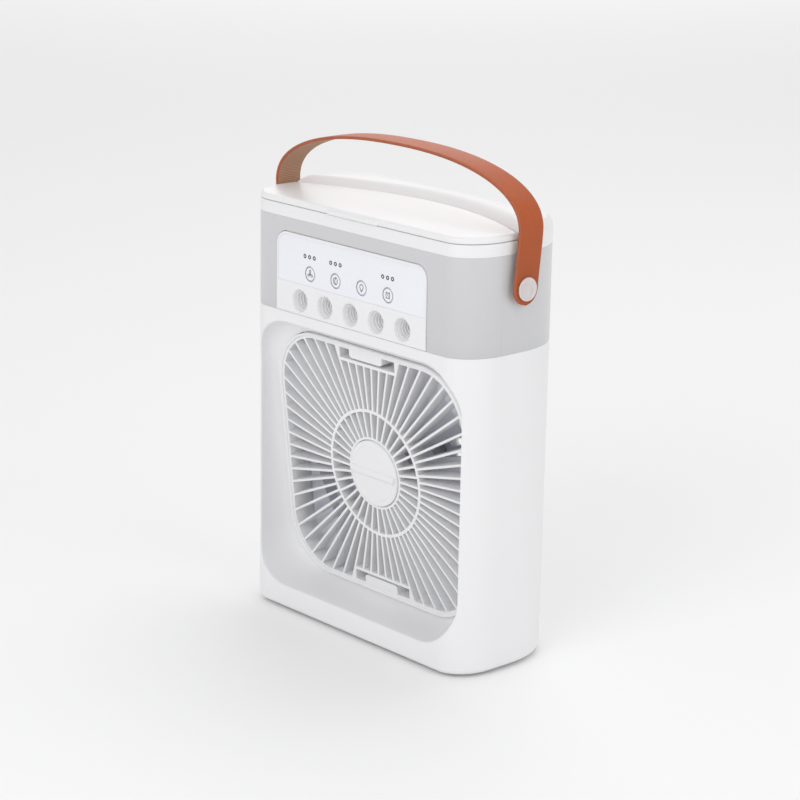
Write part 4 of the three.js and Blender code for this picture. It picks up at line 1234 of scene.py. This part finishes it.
class COOLER_OT_inner_parts(bpy.types.Operator):
    """Finishes for the parts seen through the grille, the back and the underside"""
    bl_idname = "cooler.inner_parts"
    bl_label = "Back and inner parts"

    def execute(self, context):
        grey = moulded_plastic("duct plastic", tone(colours().fan, 1.04), 0.42, seed=7.0)
        dress(["fan_shroud", "rear_guard"], grey, 0.25)
        white = moulded_plastic("rear cover white", colours().body, 0.42, seed=8.0)
        dress(["rear_cover"], white, sizes().edge / MM)
        steel = brushed_metal("plated steel", (0.66, 0.67, 0.69), 0.28)
        plated = ["motor_shaft", "impeller_nut", "power_socket"]
        dress(numbered("cover_screw", 4) + numbered("hinge_pin", 2) + plated, steel, 0.15)
        dress(["motor"], brushed_metal("motor can", (0.5, 0.51, 0.53), 0.36), 0.4)
        rubber = speckled("foot rubber", (0.13, 0.13, 0.135), (0.2, 0.2, 0.205), 0.8, 1400, 0.5)
        dress(numbered("foot", 4), rubber, 0.3)
        board = speckled("circuit board", (0.015, 0.10, 0.055), (0.03, 0.16, 0.085), 0.45, 500, 0.2)
        dress(["main_board", "control_board"], board, 0.2)
        dress(["light_strip"], glossy_film((0.84, 0.84, 0.8)), 0.3)
        return {"FINISHED"}


class COOLER_OT_stage(bpy.types.Operator):
    """Pale floor, soft studio light and the camera"""
    bl_idname = "cooler.stage"
    bl_label = "Stage"

    CAMERA = {"azimuth": 47.72, "elevation": 15.61, "roll": 1.02, "distance": 1229.84,
              "target": (0.3, -3.03, 119.38), "lens": 110.24}

    def floor(self):
        rings = [circle(r, 96, z) for r, z in ((3200, -0.6), (3200, -0.05), (1600, 0.0), (400, 0.0))]
        obj = raw_object("floor", loft(rings))
        finish = Finish("floor paper", **{"IOR": 1.3})
        fibre = finish.noise(700, 4)
        drift = finish.noise(1.3, 2)
        base = colours().floor
        finish.coat(Base_Color=finish.mix(0.5 * fibre + 0.5 * drift, tone(base, 0.985), base),
                    Roughness=0.8 + 0.12 * fibre)
        finish.bump(fibre, 0.05, 0.1)
        obj.data.materials.append(finish.material)

    def lamp(self, name, power, size, azimuth, elevation, distance, aim=(0.0, 0.0, 0.12)):
        a, e = math.radians(azimuth), math.radians(elevation)
        away = Vector((math.sin(a) * math.cos(e), -math.cos(a) * math.cos(e), math.sin(e)))
        data = bpy.data.lights.new(name, "AREA")
        data.energy = power
        data.shape = "DISK"
        data.size = size
        lamp = bpy.data.objects.new(name, data)
        lamp.location = Vector(aim) + away * distance
        lamp.rotation_euler = away.to_track_quat("Z", "Y").to_euler()
        bpy.context.scene.collection.objects.link(lamp)

    def camera(self):
        setup = self.CAMERA
        a, e, roll = (math.radians(setup[k]) for k in ("azimuth", "elevation", "roll"))
        back = Vector((math.sin(a) * math.cos(e), -math.cos(a) * math.cos(e), math.sin(e)))
        right = (-back).cross(Vector((0, 0, 1))).normalized()
        up = right.cross(-back)
        c, s = math.cos(roll), math.sin(roll)
        right, up = right * c + up * s, up * c - right * s
        data = bpy.data.cameras.new("camera")
        data.lens = setup["lens"]
        data.sensor_width = 36
        data.clip_end = 20
        camera = bpy.data.objects.new("camera", data)
        axes = Matrix((right, up, back)).transposed().to_4x4()
        place = (Vector(setup["target"]) + back * setup["distance"]) * MM
        camera.matrix_world = Matrix.Translation(place) @ axes
        bpy.context.scene.collection.objects.link(camera)
        bpy.context.scene.camera = camera

    def execute(self, context):
        self.floor()
        self.camera()
        world = bpy.data.worlds.new("studio")
        world.use_nodes = True
        background = world.node_tree.nodes["Background"]
        background.inputs["Color"].default_value = (1.0, 1.0, 1.0, 1.0)
        background.inputs["Strength"].default_value = 0.72
        context.scene.world = world
        context.scene.view_settings.view_transform = "Standard"
        self.lamp("key", 5.6, 1.1, 15, 30, 1.6)
        self.lamp("fill", 4.0, 1.4, 95, 25, 1.8)
        self.lamp("back", 4.0, 1.2, 190, 60, 1.7)
        self.lamp("backdrop", 20, 2.5, 227.7, 50, 2.2, (-2.2, 2.0, 0.0))
        return {"FINISHED"}


PIECES = (
    COOLER_OT_stage, COOLER_OT_housing, COOLER_OT_tank, COOLER_OT_rear_cap, COOLER_OT_lid,
    COOLER_OT_grille, COOLER_OT_impeller, COOLER_OT_control_panel, COOLER_OT_nozzles,
    COOLER_OT_keys, COOLER_OT_strap, COOLER_OT_inner_parts,
)


class COOLER_PT_build(bpy.types.Panel):
    """Lists the pieces and the settings they are built from"""
    bl_label = "Misting Air Cooler"
    bl_idname = "COOLER_PT_build"
    bl_space_type = "VIEW_3D"
    bl_region_type = "UI"
    bl_category = "Cooler"

    def draw(self, context):
        layout = self.layout
        for piece in PIECES:
            layout.operator(piece.bl_idname)
        for group in (context.scene.cooler_colours, context.scene.cooler_sizes):
            box = layout.box()
            for key in group.__annotations__:
                box.prop(group, key)


CLASSES = (CoolerColours, CoolerSizes, *PIECES, COOLER_PT_build)


def register():
    for item in CLASSES:
        bpy.utils.register_class(item)
    bpy.types.Scene.cooler_colours = PointerProperty(type=CoolerColours)
    bpy.types.Scene.cooler_sizes = PointerProperty(type=CoolerSizes)


def unregister():
    del bpy.types.Scene.cooler_sizes
    del bpy.types.Scene.cooler_colours
    for item in reversed(CLASSES):
        bpy.utils.unregister_class(item)


def main():
    register()
    for piece in PIECES:
        group, name = piece.bl_idname.split(".")
        getattr(getattr(bpy.ops, group), name)()


if __name__ == "__main__":
    main()
